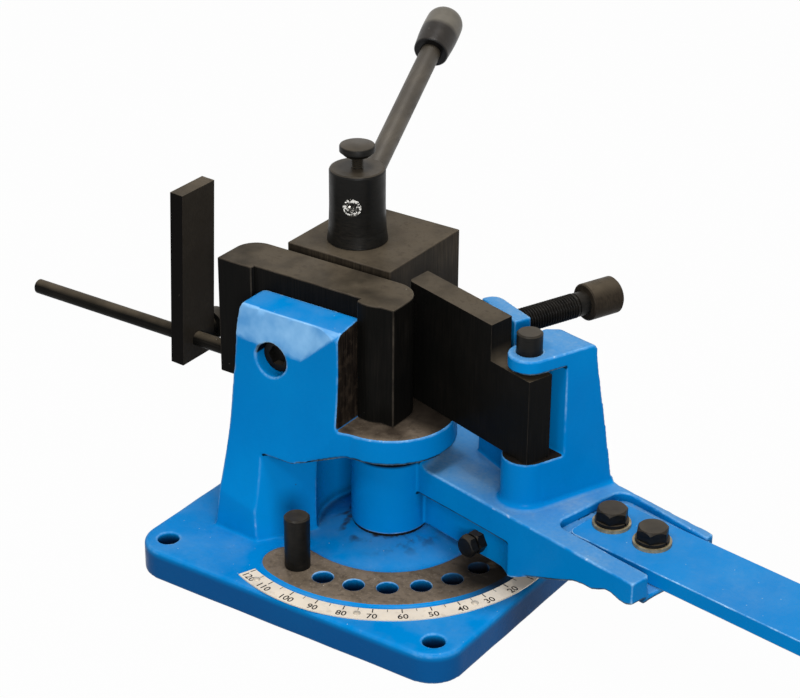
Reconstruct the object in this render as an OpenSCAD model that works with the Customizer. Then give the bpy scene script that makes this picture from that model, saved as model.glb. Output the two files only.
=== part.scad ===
// Universal bar bender: a bench casting with a fixed bending die, an eccentric bar clamp, a length stop
// and a swinging arm whose plate wraps a flat bar round the die.
// Frame: origin at the centre of the base's underside, X along the die, Y away from the operator, Z up.

/* [Base] */
// Length of the base plate along X
base_l = 240; // [220:1:280]
// Width of the base plate along Y
base_w = 240; // [220:1:280]
// Thickness of the base plate
base_t = 21; // [18:0.5:26]
// Corner radius of the base plate
base_corner = 22; // [18:1:40]
// Rounding of the base plate's top edge
base_edge = 3; // [1:0.5:5]
// Diameter of the four mounting holes
mount_d = 14; // [10:0.5:18]
// Distance of the mounting holes from the plate's edges
mount_inset = 17.5; // [15:0.5:25]

/* [Pivot] */
// Pivot position along X
pivot_x = 5; // [0:0.5:10]
// Pivot position along Y
pivot_y = -7; // [-12:0.5:0]
// Diameter of the pivot pin
pivot_d = 24; // [20:0.5:28]
// Outer diameter of the arm's bush
bush_d = 30; // [27:0.5:33]
// Top of the raised boss that carries the arm
boss_z = 26.5; // [25:0.5:30]
// Thickness of the thrust washer
washer_t = 1.5; // [1:0.25:3]

/* [Index pad] */
// Radius of the circle that the index holes lie on
index_r = 78.75; // [74:0.25:84]
// Diameter of the index holes
index_d = 13.4; // [10:0.1:15]
// Diameter of the angle stop pin above its shoulder
pin_d = 16.4; // [15.5:0.1:20]
// Number of index holes
index_count = 7; // [5:1:8]
// Angle between index holes
index_step = 15.5; // [14:0.5:17]
// Direction of the first index hole
index_first = -103.2; // [-110:0.2:-95]
// Width of the machined index pad
pad_w = 37.5; // [30:0.5:42]
// Height of the index pad over the base plate
pad_h = 2; // [1:0.5:4]
// Height of the angle stop pin over the pad
pin_rise = 36.5; // [30:0.5:45]

/* [Angle scale] */
// Inner radius of the scale strip
scale_r = 101.5; // [99:0.5:105]
// Width of the scale strip
scale_w = 12; // [8:0.5:13]
// Thickness of the scale strip
scale_t = 0.8; // [0.5:0.1:1.5]
// Direction of the scale's zero mark
scale_zero = 8.6; // [0:0.2:15]

/* [Shelf and column] */
// Height of the shelf's machined top
shelf_z = 107; // [95:0.5:120]
// Thickness of the shelf
shelf_t = 18; // [14:0.5:24]
// Radius of the shelf's round end
rim_r = 42.5; // [38:0.5:48]
// Radius of the round bay behind the arm's hub
bay_r = 47.5; // [44:0.5:52]
// Left side of the column
column_x0 = -88; // [-95:0.5:-80]
// Right side of the column above the shelf
column_x1 = -6; // [-15:0.5:0]
// Front face of the column at its top
column_face = -48.2; // [-52:0.1:-44]
// Height of the column's top
column_top = 174.5; // [165:0.5:180]
// Radius of the hollow sweep of the column's front
sweep_r = 284; // [240:1:340]
// Back end of the casting
back_y = 97; // [90:0.5:105]

/* [Bending die] */
// Height of the die
die_h = 81; // [70:0.5:90]
// Thickness of the die without its groove
die_t = 35.5; // [30:0.5:40]
// Left end of the die
die_x0 = -115; // [-122:0.5:-110]
// Right end of the die
die_x1 = 21; // [15:0.5:22]
// Depth of the groove that locates the die on the column
groove_d = 3.5; // [2:0.25:5]
// Radius of the bending corner
die_r_bend = 19; // [12:0.5:22]
// Radius of the second corner
die_r_back = 15; // [8:0.5:20]
// Thread diameter of the die screw
die_screw_d = 14; // [12:1:18]

/* [Clamp] */
// Opening between die and clamp block
bar_gap = 5.3; // [4:0.1:8]
// Length of the clamp block along X
block_l = 80; // [70:0.5:90]
// Depth of the clamp block along Y
block_w = 80; // [70:0.5:84]
// Height of the clamp block
block_h = 83; // [75:0.5:90]
// Left end of the clamp block
block_x0 = -89.5; // [-95:0.5:-85]
// Diameter of the eccentric shaft
shaft_d = 20; // [16:0.5:24]
// Diameter of the cam
cam_d = 32; // [28:0.5:36]
// Throw of the cam
cam_throw = 5; // [3:0.25:6]
// Height of the clamp hub
hub_h = 49; // [40:0.5:60]
// Diameter of the clamp hub at its top
hub_d = 36.4; // [30:0.2:44]
// Diameter of the clamp handle
handle_d = 14; // [10:0.5:16]
// Length of the clamp handle from the hub's axis to its knob
handle_len = 154; // [120:1:220]
// Direction of the clamp handle, from X
handle_dir = 105; // [90:1:130]
// Rise of the clamp handle
handle_rise = 20; // [10:0.5:25]

/* [Length stop] */
// Diameter of the stop rod
rod_d = 10; // [8:0.5:12]
// Left end of the stop rod
rod_x0 = -282; // [-340:1:-240]
// Height of the stop rod
rod_z = 118.4; // [115:0.2:125]
// Position of the stop rod along Y
rod_y = -17.5; // [-20:0.5:-10]
// Thickness of the stop plate
stop_t = 10; // [8:0.5:12]
// Width of the stop plate
stop_w = 32.5; // [28:0.5:40]
// Distance of the stop plate's front edge from the rod's axis
stop_front = 15; // [13:0.5:20]
// Height of the stop plate
stop_h = 122; // [100:1:140]
// Position of the stop plate along X
stop_x = -147; // [-200:1:-135]
// Lean of the stop plate on its rod
stop_lean = 2.5; // [0:0.1:4]

/* [Bending arm] */
// Direction of the arm's front edge
arm_angle = -13.6; // [-16:0.1:0]
// Length of the arm from the pivot
arm_l = 210; // [200:1:240]
// Back edge of the arm, from the pivot
arm_back = 79; // [74:0.5:84]
// Fall of the arm's back rim towards the free end of the lever
rim_drop = 3.5; // [1:0.5:4]
// Height of the arm's deck
deck_z = 75.5; // [70:0.5:80]
// Thickness of the arm's deck
deck_t = 19.5; // [14:0.5:24]
// Radius of the arm's hub
hub_r = 25; // [22:0.5:28]
// Distance of the plate pin along the arm
pin_u = 97.4; // [92:0.1:104]
// Distance of the plate pin across the arm
pin_v = 23.6; // [20:0.1:28]
// Radius of the ledge's round front
ledge_r = 15; // [12:0.5:18]
// Radius of the upper finger's round end
finger_r = 13; // [11:0.5:15]
// Thickness of the upper finger
finger_t = 9.5; // [8:0.5:14]
// Distance of the stop bolt along the arm
bolt_u = 75; // [72:0.5:82]
// Height of the stop bolt
bolt_z = 40; // [38:0.5:46]
// Thread diameter of the stop bolt
bolt_d = 8; // [6:1:12]
// Width across flats of the stop bolt and its nut
bolt_hex = 13; // [10:0.5:19]

/* [Bending plate] */
// Direction of the bending plate
plate_angle = -17.5; // [-20:0.1:-12]
// Distance of the plate's face from the pivot
plate_face = 20; // [18:0.1:24]
// Thickness of the bending plate
plate_t = 18; // [14:0.5:20]
// Outer end of the plate
plate_s1 = 108; // [104:0.5:112]
// Start of the lower step
plate_step = 72.5; // [65:0.5:76]
// Depth of the step
step_h = 24; // [15:0.5:30]
// Diameter of the plate pin
plate_pin_d = 16; // [12:0.5:18]
// Thread diameter of the adjusting screw
adjust_d = 16; // [12:1:20]
// Height of the adjusting screw
adjust_z = 170.2; // [165:0.2:174]

/* [Lever] */
// Width of the lever bar
lever_w = 50; // [40:1:54]
// Thickness of the lever bar
lever_t = 10; // [8:0.5:12]
// Length of the lever bar
lever_l = 560; // [300:5:900]
// Angle of the lever bar in its pocket
lever_skew = 4.3; // [0:0.1:4.5]
// Distance between the lever bolts
lever_pitch = 31.2; // [28:0.2:36]
// Thread diameter of the lever bolts
lever_bolt_d = 12; // [10:1:12]
// Thickness of the lever's flat and spring washers
lever_washer_t = 2.2; // [2:0.1:3]

/* [Fits] */
// Radial clearance of a running fit
run_fit = 0.05; // [0.03:0.01:0.1]
// Gap between parts that slide past each other
slide_gap = 0.1; // [0.05:0.05:0.3]
// Gap between the top of the arm's hub and the shelf
hub_gap = 1.2; // [0.4:0.1:2]
// Gap between parts that swing past each other
swing_gap = 0.4; // [0.3:0.1:1]
// Side clearance of a seat
seat_gap = 0.1; // [0.05:0.05:0.3]
// Clearance of the cam in its slot
cam_gap = 0.3; // [0.25:0.05:0.5]

/* [Hidden] */
$fn = 96;
blue = [0.02, 0.42, 0.74];
black = [0.13, 0.12, 0.11];
column_back = column_face + 24.2;
shelf_under = shelf_z - shelf_t;
sweep_z = 150;
ridge = [column_face + 3.5, column_top - 2.9];
pad_z = base_t + pad_h;
die_y0 = column_back - groove_d;
die_y1 = die_y0 + die_t;
die_z1 = shelf_z + die_h;
die_screw_x = column_x0 + 30;
die_screw_z = shelf_z + 33;
die_head_d = die_screw_d * 1.5;
die_head_t = die_screw_d * 0.625;
counterbore_d = die_head_d + 2;
counterbore_y = column_back - 8.2;
block_y0 = die_y1 + bar_gap;
block_z0 = shelf_z + slide_gap;
block_z1 = block_z0 + block_h;
shaft_x = block_x0 + 33.6;
shaft_y = block_y0 + 30.4;
cam_z1 = shelf_z + 1.25 * cam_d;
shaft_low = 0.43 * shelf_z;
hub_z0 = block_z1 + swing_gap;
hub_z1 = hub_z0 + hub_h;
handle_z = hub_z0 + 23.6;
arm_z0 = boss_z + washer_t + slide_gap;
arm_z1 = shelf_under - hub_gap;
deck_z0 = deck_z - deck_t;
ledge_z = shelf_z;
plate_z0 = ledge_z + 0.4;
plate_z1 = shelf_z + die_h;
plate_low = plate_z1 - step_h;
finger_z = plate_low + 3.5;
finger_top = finger_z + finger_t;
pin_top = finger_top + 13;
pin_low = deck_z + 4;
plate_turn = plate_angle - arm_angle;
// Plate pin seen from the plate's own direction
pin_s = pin_u * cos(plate_turn) + pin_v * sin(plate_turn);
pin_n = pin_v * cos(plate_turn) - pin_u * sin(plate_turn);
lug_turn = -11.7;
lug_u = 54.2;
lug_v = 63.9;
adjust_turn = -8.9;
adjust_u = 56.9;
adjust_v = 63.4;
adjust_skew = adjust_turn - plate_turn;
tip_d = adjust_d - 5;
thread_end = 2.25 * adjust_d;
neck_d = adjust_d - 0.6;
neck_l = 1.625 * adjust_d;
tip_l = 3;
// Distance from the adjusting screw's reference point to the plate's back, along the screw
adjust_run = adjust_v * cos(plate_turn) - adjust_u * sin(plate_turn) - plate_face - plate_t;
adjust_reach = adjust_run / cos(adjust_skew);
adjust_tip = adjust_reach - tip_d / 2 * tan(abs(adjust_skew)) - 0.25;
wall_v = 8;
// Direction that the post's right side faces, in the arm's own directions
side_turn = -9.6;
lug_top = plate_z1 - 4.5;
pocket_u = arm_l - 78.5;
pocket_v0 = 16;
pocket_v1 = arm_back - 3;
floor_z = deck_z - 14;
lever_z1 = floor_z + lever_t;
lever_u = pocket_u + 19.5;
lever_v = 45.8;
nut_t = 0.75 * bolt_d;
head_gap = 1.5;
head_t = 0.66 * bolt_d;

// Everything in front of a plane, as a large block: the plane passes through p and faces direction yaw,
// tilted up
module half_space(p, yaw, tilt) {
    translate(p)
        rotate([0, -tilt, yaw])
            translate([0, -300, -300])
                cube([600, 600, 600]);
}

// A 2D shape drawn in Y and Z, extruded along X
module along_x(x0, x1) {
    translate([x0, 0, 0])
        rotate([90, 0, 90])
            linear_extrude(x1 - x0)
                children();
}

// A 2D shape drawn in X and Z, extruded along Y
module along_y(y0, y1) {
    translate([0, y1, 0])
        rotate([90, 0, 0])
            linear_extrude(y1 - y0)
                children();
}

// A rectangle with round corners
module round_rect(x0, y0, x1, y1, r) {
    translate([x0 + r, y0])
        square([x1 - x0 - 2 * r, y1 - y0]);
    translate([x0, y0 + r])
        square([x1 - x0, y1 - y0 - 2 * r]);
    for (x = [x0 + r, x1 - r]) {
        for (y = [y0 + r, y1 - r]) {
            translate([x, y])
                circle(r = r);
        }
    }
}

// Half of a plate's section with a rounded top edge, from the middle out to d
module edge_section(d, t, r) {
    square([d, t - r]);
    square([d - r, t]);
    translate([d - r, t - r])
        circle(r = r);
}

// A plate with round corners and a rounded top edge, centred on the origin
module rounded_plate(l, w, t, corner, r) {
    for (x = [-1, 1]) {
        for (y = [-1, 1]) {
            translate([x * (l / 2 - corner), y * (w / 2 - corner), 0])
                rotate_extrude()
                    edge_section(corner, t, r);
        }
    }
    for (side = [0, 180]) {
        rotate([0, 0, side])
            along_x(-(l / 2 - corner), l / 2 - corner)
                edge_section(w / 2, t, r);
        rotate([0, 0, side])
            rotate([0, 0, 90])
                along_x(-(w / 2 - corner), w / 2 - corner)
                    edge_section(l / 2, t, r);
    }
}

// Moves children to the pivot
module at_pivot(turn = 0) {
    translate([pivot_x, pivot_y, 0])
        rotate([0, 0, turn])
            children();
}

// Moves children to the arm's own directions: u along the arm, v across it
module at_arm() {
    at_pivot(arm_angle)
        children();
}

// Moves children to the first lever bolt, along the lever bar
module at_lever() {
    at_arm()
        translate([lever_u, lever_v, 0])
            rotate([0, 0, lever_skew])
                children();
}

// Moves children to both lever bolts
module at_lever_bolts() {
    for (i = [0, 1]) {
        at_lever()
            translate([i * lever_pitch, 0, 0])
                children();
    }
}

// Moves children to the adjusting screw's axis, which becomes Z
module at_adjuster() {
    at_arm()
        translate([adjust_u, adjust_v, adjust_z])
            rotate([0, 0, adjust_turn])
                rotate([-90, 0, 0])
                    children();
}

// Moves children to index hole i
module at_index(i) {
    at_pivot(index_first + i * index_step)
        translate([index_r, 0, 0])
            children();
}

// Moves children to the clamp shaft
module at_shaft() {
    translate([shaft_x, shaft_y, 0])
        children();
}

// A strip of a ring round the pivot
module ring_sector(r0, r1, a0, a1, z0, z1) {
    at_pivot(a0)
        rotate_extrude(angle = a1 - a0)
            translate([r0, z0])
                square([r1 - r0, z1 - z0]);
}

// The index pad's plan, as a solid from z0 to z1
module pad_body(z0, z1) {
    at_pivot()
        translate([0, 0, z0])
            linear_extrude(z1 - z0)
                pad_plan();
}

// Plan of the index pad about the pivot: a band of a ring with round ends
module pad_plan() {
    over = 0.3;
    first = index_first - over * index_step;
    last = index_first + (index_count - 1 + over) * index_step;
    difference() {
        circle(r = index_r + pad_w / 2);
        circle(r = index_r - pad_w / 2);
        rotate(first)
            translate([-200, -400])
                square([400, 400]);
        rotate(last)
            translate([-200, 0])
                square([400, 400]);
    }
    for (turn = [first, last]) {
        rotate(turn)
            translate([index_r, 0])
                circle(d = pad_w - 0.4);
    }
}

// Side view of the column: swept front, sloping top, upright back
module column_side() {
    difference() {
        polygon([
            [-110, base_t - 1],
            [column_face + 10, base_t - 1],
            [column_face + 10, shelf_under],
            [column_back, shelf_under],
            [column_back, column_top],
            ridge,
            [column_face, ridge[1] - 4],
            [column_face, sweep_z],
            [-110, sweep_z]
        ]);
        translate([column_face - sweep_r, sweep_z])
            circle(r = sweep_r, $fn = 240);
    }
}

// Front view of the column: upright left side that leans in towards a rounded top
module column_front() {
    polygon([
        [column_x0, base_t - 1],
        [column_x0, shelf_z + 4],
        [column_x0 + 2.6, column_top - 11],
        [column_x0 + 3.2, column_top - 6.5],
        [column_x0 + 5, column_top - 3],
        [column_x0 + 8, column_top - 0.9],
        [column_x0 + 12, column_top + 0.2],
        [column_x0 + 16, column_top + 1],
        [column_x1, column_top + 1],
        [column_x1, shelf_z],
        [pivot_x, shelf_z],
        [pivot_x, base_t - 1]
    ]);
}

// Column and rear body, cut back under the shelf, before any machining
module column_body() {
    difference() {
        union() {
            intersection() {
                along_x(-150, 50)
                    column_side();
                along_y(-150, 50)
                    column_front();
            }
            translate([0, 0, base_t - 1])
                linear_extrude(shelf_z - base_t - 2)
                    round_rect(column_x0 - 3.5, -45, column_x0 + 60, back_y - 0.5, 12);
        }
        intersection() {
            union() {
                half_space([column_x0 + 32, column_face - 30.3, base_t], -34.4, 15.7);
                at_pivot()
                    cylinder(r = bay_r, h = shelf_z);
            }
            along_y(-200, 200)
                polygon([
                    [-110, base_t - 2],
                    [80, base_t - 2],
                    [80, shelf_under + 4],
                    [11.4, shelf_under + 4],
                    [-37, shelf_under - 13],
                    [-110, shelf_under - 13]
                ]);
        }
        intersection() {
            half_space([pivot_x, pivot_y - rim_r + 0.3, 0], -76, 0);
            translate([-37, -150, base_t])
                cube([120, 150, shelf_z]);
        }
        half_space([column_x0, column_face, sweep_z], -92.5, 10.7);
    }
}

// Column, rear body and shelf
module upper_casting() {
    column_body();
    translate([0, 0, shelf_under])
        linear_extrude(shelf_t)
            shelf_plan();
}

// Plan of the shelf: round end about the pivot, broad rear under the clamp block
module shelf_plan() {
    translate([pivot_x, pivot_y])
        circle(r = rim_r);
    translate([column_x0, pivot_y - rim_r])
        square([pivot_x - column_x0, 2 * rim_r]);
    round_rect(column_x0 - 4, -40, block_x0 + block_l + 5, back_y, 12);
}

// Hollow underside: a shallow pocket between ribs and bosses, and a core up into the column
module underside() {
    wall = 12;
    difference() {
        translate([0, 0, -1])
            linear_extrude(10)
                round_rect(wall - base_l / 2, wall - base_w / 2, base_l / 2 - wall, base_w / 2 - wall,
                    base_corner - wall);
        for (x = [-1, 1]) {
            for (y = [-1, 1]) {
                translate([x * (base_l / 2 - mount_inset), y * (base_w / 2 - mount_inset), -2])
                    cylinder(r = mount_d, h = 12);
            }
        }
        at_pivot()
            translate([0, 0, -2])
                cylinder(r = boss_r(), h = 12);
        pad_body(-2, 10);
        translate([-base_l / 2, 60, -2])
            cube([base_l, 9, 12]);
        translate([60, -base_w / 2, -2])
            cube([9, base_w, 12]);
    }
    difference() {
        translate([0, 0, -1])
            linear_extrude(67)
                polygon([
                    [column_x0 + 9, column_face + 3],
                    [column_x0 + 20, column_face + 3],
                    [column_x0 + 30, column_face + 28],
                    [column_x0 + 30, column_face + 68],
                    [column_x0 + 44, column_face + 93],
                    [column_x0 + 44, back_y - 13],
                    [column_x0 + 9, back_y - 13]
                ]);
        at_shaft()
            translate([0, 0, shaft_low - 6])
                cylinder(d = 2 * shaft_d, h = shelf_z - shaft_low);
    }
}

// Radius of the pivot boss at the base
function boss_r() = bush_d / 2 + 18;

// Rounded flare of the boss round the pivot
module pivot_boss() {
    rise = boss_z - base_t + 0.3;
    top_r = hub_r + 2;
    foot_r = index_r - pad_w / 2 - 1;
    foot_z = base_t - 0.3;
    steps = 8;
    at_pivot()
        rotate_extrude()
            polygon([
                [0, base_t - 1],
                [foot_r, base_t - 1],
                for (i = [0:steps])
                    [foot_r + (top_r - foot_r) * i / steps, foot_z + rise * pow(i / steps, 1.7)],
                [0, boss_z]
            ]);
}

module base_casting() {
    color(blue)
        difference() {
            union() {
                rounded_plate(base_l, base_w, base_t, base_corner, base_edge);
                pivot_boss();
                pad_body(base_t - 1, pad_z);
                upper_casting();
            }
            underside();
            for (x = [-1, 1]) {
                for (y = [-1, 1]) {
                    translate([x * (base_l / 2 - mount_inset), y * (base_w / 2 - mount_inset), -1])
                        cylinder(d = mount_d, h = base_t + 2);
                }
            }
            for (i = [0:index_count - 1]) {
                at_index(i)
                    translate([0, 0, -1])
                        cylinder(d = index_d, h = pad_z + 2);
            }
            at_pivot()
                translate([0, 0, -1])
                    cylinder(d = pivot_d, h = shelf_z + 2);
            at_shaft()
                translate([0, 0, shaft_low - 2])
                    cylinder(d = shaft_d + 2 * run_fit, h = shelf_z);
            translate([die_screw_x, column_back + 1, die_screw_z])
                rotate([90, 0, 0])
                    cylinder(d = die_screw_d, h = 60);
            translate([die_screw_x, counterbore_y, die_screw_z])
                rotate([90, 0, 0])
                    cylinder(d = counterbore_d, h = 60);
        }
}

// Plan of the die: groove in front, round corners behind
module die_plan() {
    difference() {
        union() {
            translate([die_x0, die_y0])
                square([die_x1 - die_x0, die_t - max(die_r_bend, die_r_back)]);
            translate([die_x0 + die_r_back, die_y0])
                square([die_x1 - die_x0 - die_r_back - die_r_bend, die_t]);
            translate([die_x0, die_y0])
                square([die_r_back + 1, die_t - die_r_back]);
            translate([die_x1 - die_r_bend, die_y1 - die_r_bend])
                circle(r = die_r_bend);
            translate([die_x0 + die_r_back, die_y1 - die_r_back])
                circle(r = die_r_back);
        }
        translate([column_x0 - seat_gap, die_y0 - 1])
            square([column_x1 - column_x0 + 2 * seat_gap, groove_d + 1]);
    }
}

module bending_die() {
    color(black)
        difference() {
            translate([0, 0, shelf_z])
                linear_extrude(die_h)
                    die_plan();
            translate([die_x0 - 1, rod_y, rod_z])
                rotate([0, 90, 0])
                    cylinder(d = rod_d, h = 26);
            translate([die_screw_x, column_back + 20, die_screw_z])
                rotate([90, 0, 0])
                    cylinder(d = die_screw_d, h = 40);
        }
}

// A screw that points along Z from z 0 up, with a round head below it and a hexagon socket
module socket_screw(d, len, head_d, head_h, socket) {
    difference() {
        union() {
            cylinder(d = d, h = len);
            translate([0, 0, -head_h])
                cylinder(d = head_d, h = head_h);
        }
        translate([0, 0, -head_h - 1])
            cylinder(d = socket / cos(30), h = head_h * 0.6 + 1, $fn = 6);
    }
}

module die_screw() {
    color(black)
        translate([die_screw_x, counterbore_y, die_screw_z])
            rotate([-90, 0, 0])
                socket_screw(die_screw_d, column_back + 18 - counterbore_y, die_head_d, die_head_t,
                    die_head_d * 0.58);
}

module angle_scale() {
    color([0.85, 0.81, 0.74])
        difference() {
            ring_sector(scale_r, scale_r + scale_w, scale_zero - 121, scale_zero + 1,
                base_t, base_t + scale_t);
            at_rivets()
                translate([0, 0, base_t - 5])
                    cylinder(d = 3, h = 10, $fn = 32);
        }
}

// Moves children to the three scale rivets
module at_rivets() {
    for (mark = [115, 75, 35]) {
        at_pivot(scale_zero - mark)
            translate([scale_r + scale_w / 2, 0, 0])
                children();
    }
}

module scale_rivets() {
    color([0.7, 0.68, 0.62])
        at_rivets()
            translate([0, 0, base_t + scale_t])
                rivet();
}

// A drive rivet with a low round head and a short shank in the strip
module rivet() {
    translate([0, 0, -scale_t])
        cylinder(d = 3, h = scale_t + 0.2, $fn = 32);
    intersection() {
        translate([0, 0, -3])
            sphere(r = 3.9, $fn = 48);
        cylinder(r = 3, h = 2, $fn = 48);
    }
}

module pivot_pin() {
    color(black)
        at_pivot()
            translate([0, 0, 4])
                cylinder(d = pivot_d, h = shelf_z - 4.2);
}

module thrust_washer() {
    color([0.35, 0.3, 0.24])
        at_pivot()
            translate([0, 0, boss_z])
                difference() {
                    cylinder(r = hub_r - 1, h = washer_t);
                    translate([0, 0, -1])
                        cylinder(d = pivot_d + 2 * seat_gap, h = washer_t + 2);
                }
}

module stop_rod() {
    color(black)
        translate([rod_x0, rod_y, rod_z])
            rotate([0, 90, 0])
                difference() {
                    cylinder(d = rod_d, h = die_x0 + 24 - rod_x0);
                    translate([0, 0, -1])
                        difference() {
                            cylinder(d = rod_d + 2, h = 2);
                            translate([0, 0, 1])
                                cylinder(d1 = rod_d - 2, d2 = rod_d, h = 1);
                        }
                }
}

module stop_plate() {
    color(black)
        difference() {
            translate([stop_x, rod_y - stop_front, rod_z])
                rotate([0, stop_lean, 0])
                    translate([-stop_t / 2, 0, -14])
                        cube([stop_t, stop_w, stop_h]);
            translate([stop_x - stop_t, rod_y, rod_z])
                rotate([0, 90, 0])
                    cylinder(d = rod_d + 2 * run_fit, h = 2 * stop_t);
            translate([stop_x, rod_y, rod_z])
                rotate([-90, 0, 0])
                    cylinder(d = 6 + 2 * run_fit, h = stop_w);
        }
}

module stop_lock_screw() {
    edge = stop_w - stop_front + slide_gap;
    color(black)
        translate([stop_x, rod_y, rod_z])
            rotate([-90, 0, 0])
                difference() {
                    union() {
                        translate([0, 0, rod_d / 2 + slide_gap])
                            cylinder(d = 6, h = edge);
                        translate([0, 0, edge])
                            cylinder(d = 12, h = 3);
                        translate([0, 0, edge + 3])
                            cylinder(d = 20, h = 9);
                    }
                    translate([0, 0, edge + 7])
                        cylinder(d = 8 / cos(30), h = 6, $fn = 6);
                }
}

// Stop pin whose shoulder rests on the pad, with a thinner end in the index hole
module angle_stop_pin() {
    spigot_l = 18;
    color(black)
        at_index(0)
            translate([0, 0, pad_z])
                union() {
                    translate([0, 0, -spigot_l])
                        cylinder(d = index_d - 2 * run_fit, h = spigot_l + 1);
                    cylinder(d = pin_d, h = pin_rise - 1);
                    translate([0, 0, pin_rise - 1])
                        cylinder(d1 = pin_d, d2 = pin_d - 2, h = 1);
                }
}

// Plan of the arm's deck
module deck_plan() {
    circle(r = hub_r);
    polygon([
        [0, 0.5],
        [arm_l - 50, 0.5],
        [arm_l - 50, 12],
        [arm_l - 1, 12],
        [arm_l - 5 - 1.3 * rim_drop, arm_back + 1.2 * rim_drop],
        [pocket_u - 6.5, arm_back],
        [hub_r - 21, arm_back],
        [-0.96 * hub_r, 0.16 * hub_r]
    ]);
}

// Front skirt of the arm, seen from the front: deep near the hub, scalloped towards the lever
module skirt_front() {
    polygon([
        [hub_r + 35, deck_z],
        [hub_r + 35, deck_z - 45.5],
        [pin_u + 2.6, deck_z - 44.5],
        [pin_u + 13.6, deck_z - 43],
        [pin_u + 26.6, deck_z - 36],
        [arm_l - 57, deck_z - 25],
        [arm_l - 47, deck_z - 20.5],
        [arm_l - 39, deck_z - 19.2],
        [arm_l - 32, deck_z - 19],
        [arm_l - 27, deck_z - 17],
        [arm_l - 22, deck_z - 14.5],
        [arm_l - 17, deck_z - 14.2],
        [arm_l - 11, deck_z - 16],
        [arm_l - 5, deck_z - 16.5],
        [arm_l, deck_z - 14.5],
        [arm_l, deck_z]
    ]);
}

// Back skirt of the arm, seen from the front
module skirt_back() {
    polygon([
        [hub_r + 11, deck_z - 1],
        [hub_r + 11, deck_z - 39.5],
        [pin_u + 2.6, deck_z - 41.5],
        [arm_l - 50, deck_z - 25.5],
        [arm_l - 6, deck_z - 23.5],
        [arm_l - 6, deck_z - 1]
    ]);
}

// What is cut from the deck so that its back rim falls to the top of the lever
module back_rim_cut() {
    yaw = atan2(arm_l - pocket_u + 6.5, arm_back - 12);
    run = (arm_l - pocket_u) * cos(yaw);
    half_space([pocket_u - 6.5, arm_back, deck_z], yaw, 90 - atan(rim_drop / run));
}

// Ledge, post and finger that carry the plate pin
module pin_bracket() {
    difference() {
        union() {
            translate([pin_u, pin_v, deck_z - 1])
                cylinder(r = ledge_r, h = ledge_z - deck_z + 1);
            translate([pin_u - ledge_r, pin_v, deck_z - 1])
                cube([60, 25, ledge_z - deck_z + 1]);
            along_x(pin_u - ledge_r, pin_u + 40)
                polygon([
                    [pin_v + 15.4, deck_z - 1],
                    [arm_back - 1.5, deck_z - 1],
                    [pin_v + 38, finger_top - 9],
                    [pin_v + 37.8, finger_top - 3.5],
                    [pin_v + 36.8, finger_top - 1],
                    [pin_v + 34.8, finger_top],
                    [pin_v + 15.4, finger_top]
                ]);
            translate([pin_u + ledge_r - finger_r - 0.8, pin_v - 1.1, finger_z])
                cylinder(r = finger_r, h = finger_t);
            translate([pin_u + ledge_r - 2 * finger_r - 0.8, pin_v - 1.1, finger_z])
                cube([60, 26, finger_t]);
        }
        half_space([pin_u + ledge_r * cos(side_turn), pin_v + ledge_r * sin(side_turn), ledge_z],
            side_turn, 0.6);
        half_space([pin_u - ledge_r + 7, pin_v + 37, finger_top], 140, 9);
        translate([pin_u, pin_v, pin_low - 1])
            cylinder(d = plate_pin_d + 2 * run_fit, h = 200);
    }
}

// Hollow fillet at the foot of the ledge and of the post's right side
module foot_fillet() {
    r = 4.5;
    translate([pin_u, pin_v, deck_z])
        rotate_extrude()
            fillet_section(ledge_r, r);
    translate([pin_u, pin_v, deck_z])
        rotate([0, 0, side_turn])
            along_y(0, arm_back - pin_v + 8)
                fillet_section(ledge_r, r);
}

// Section of a hollow fillet of radius r on a wall at distance d, over a floor at height 0
module fillet_section(d, r) {
    difference() {
        translate([d - 2, -1])
            square([r + 2, r + 1]);
        translate([d + r, r])
            circle(r = r);
    }
}

// Back lug that holds the adjusting screw, and the web that ties it to the post
module adjuster_lug() {
    translate([lug_u, lug_v, 0])
        rotate([0, 0, lug_turn])
            translate([0, 0, deck_z - 1])
                linear_extrude(lug_top - deck_z + 1)
                    lug_plan();
    translate([pin_u - 40, pin_v + 19, deck_z - 1])
        cube([40, 13, 76]);
}

// Plan of the lug: one round back corner
module lug_plan() {
    front = -24;
    translate([-14, front])
        square([38, 5]);
    translate([-6, front])
        square([30, 11.6]);
    intersection() {
        translate([-6, front + 3.6])
            circle(r = 8);
        translate([-20, front])
            square([40, 20]);
    }
}

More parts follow.
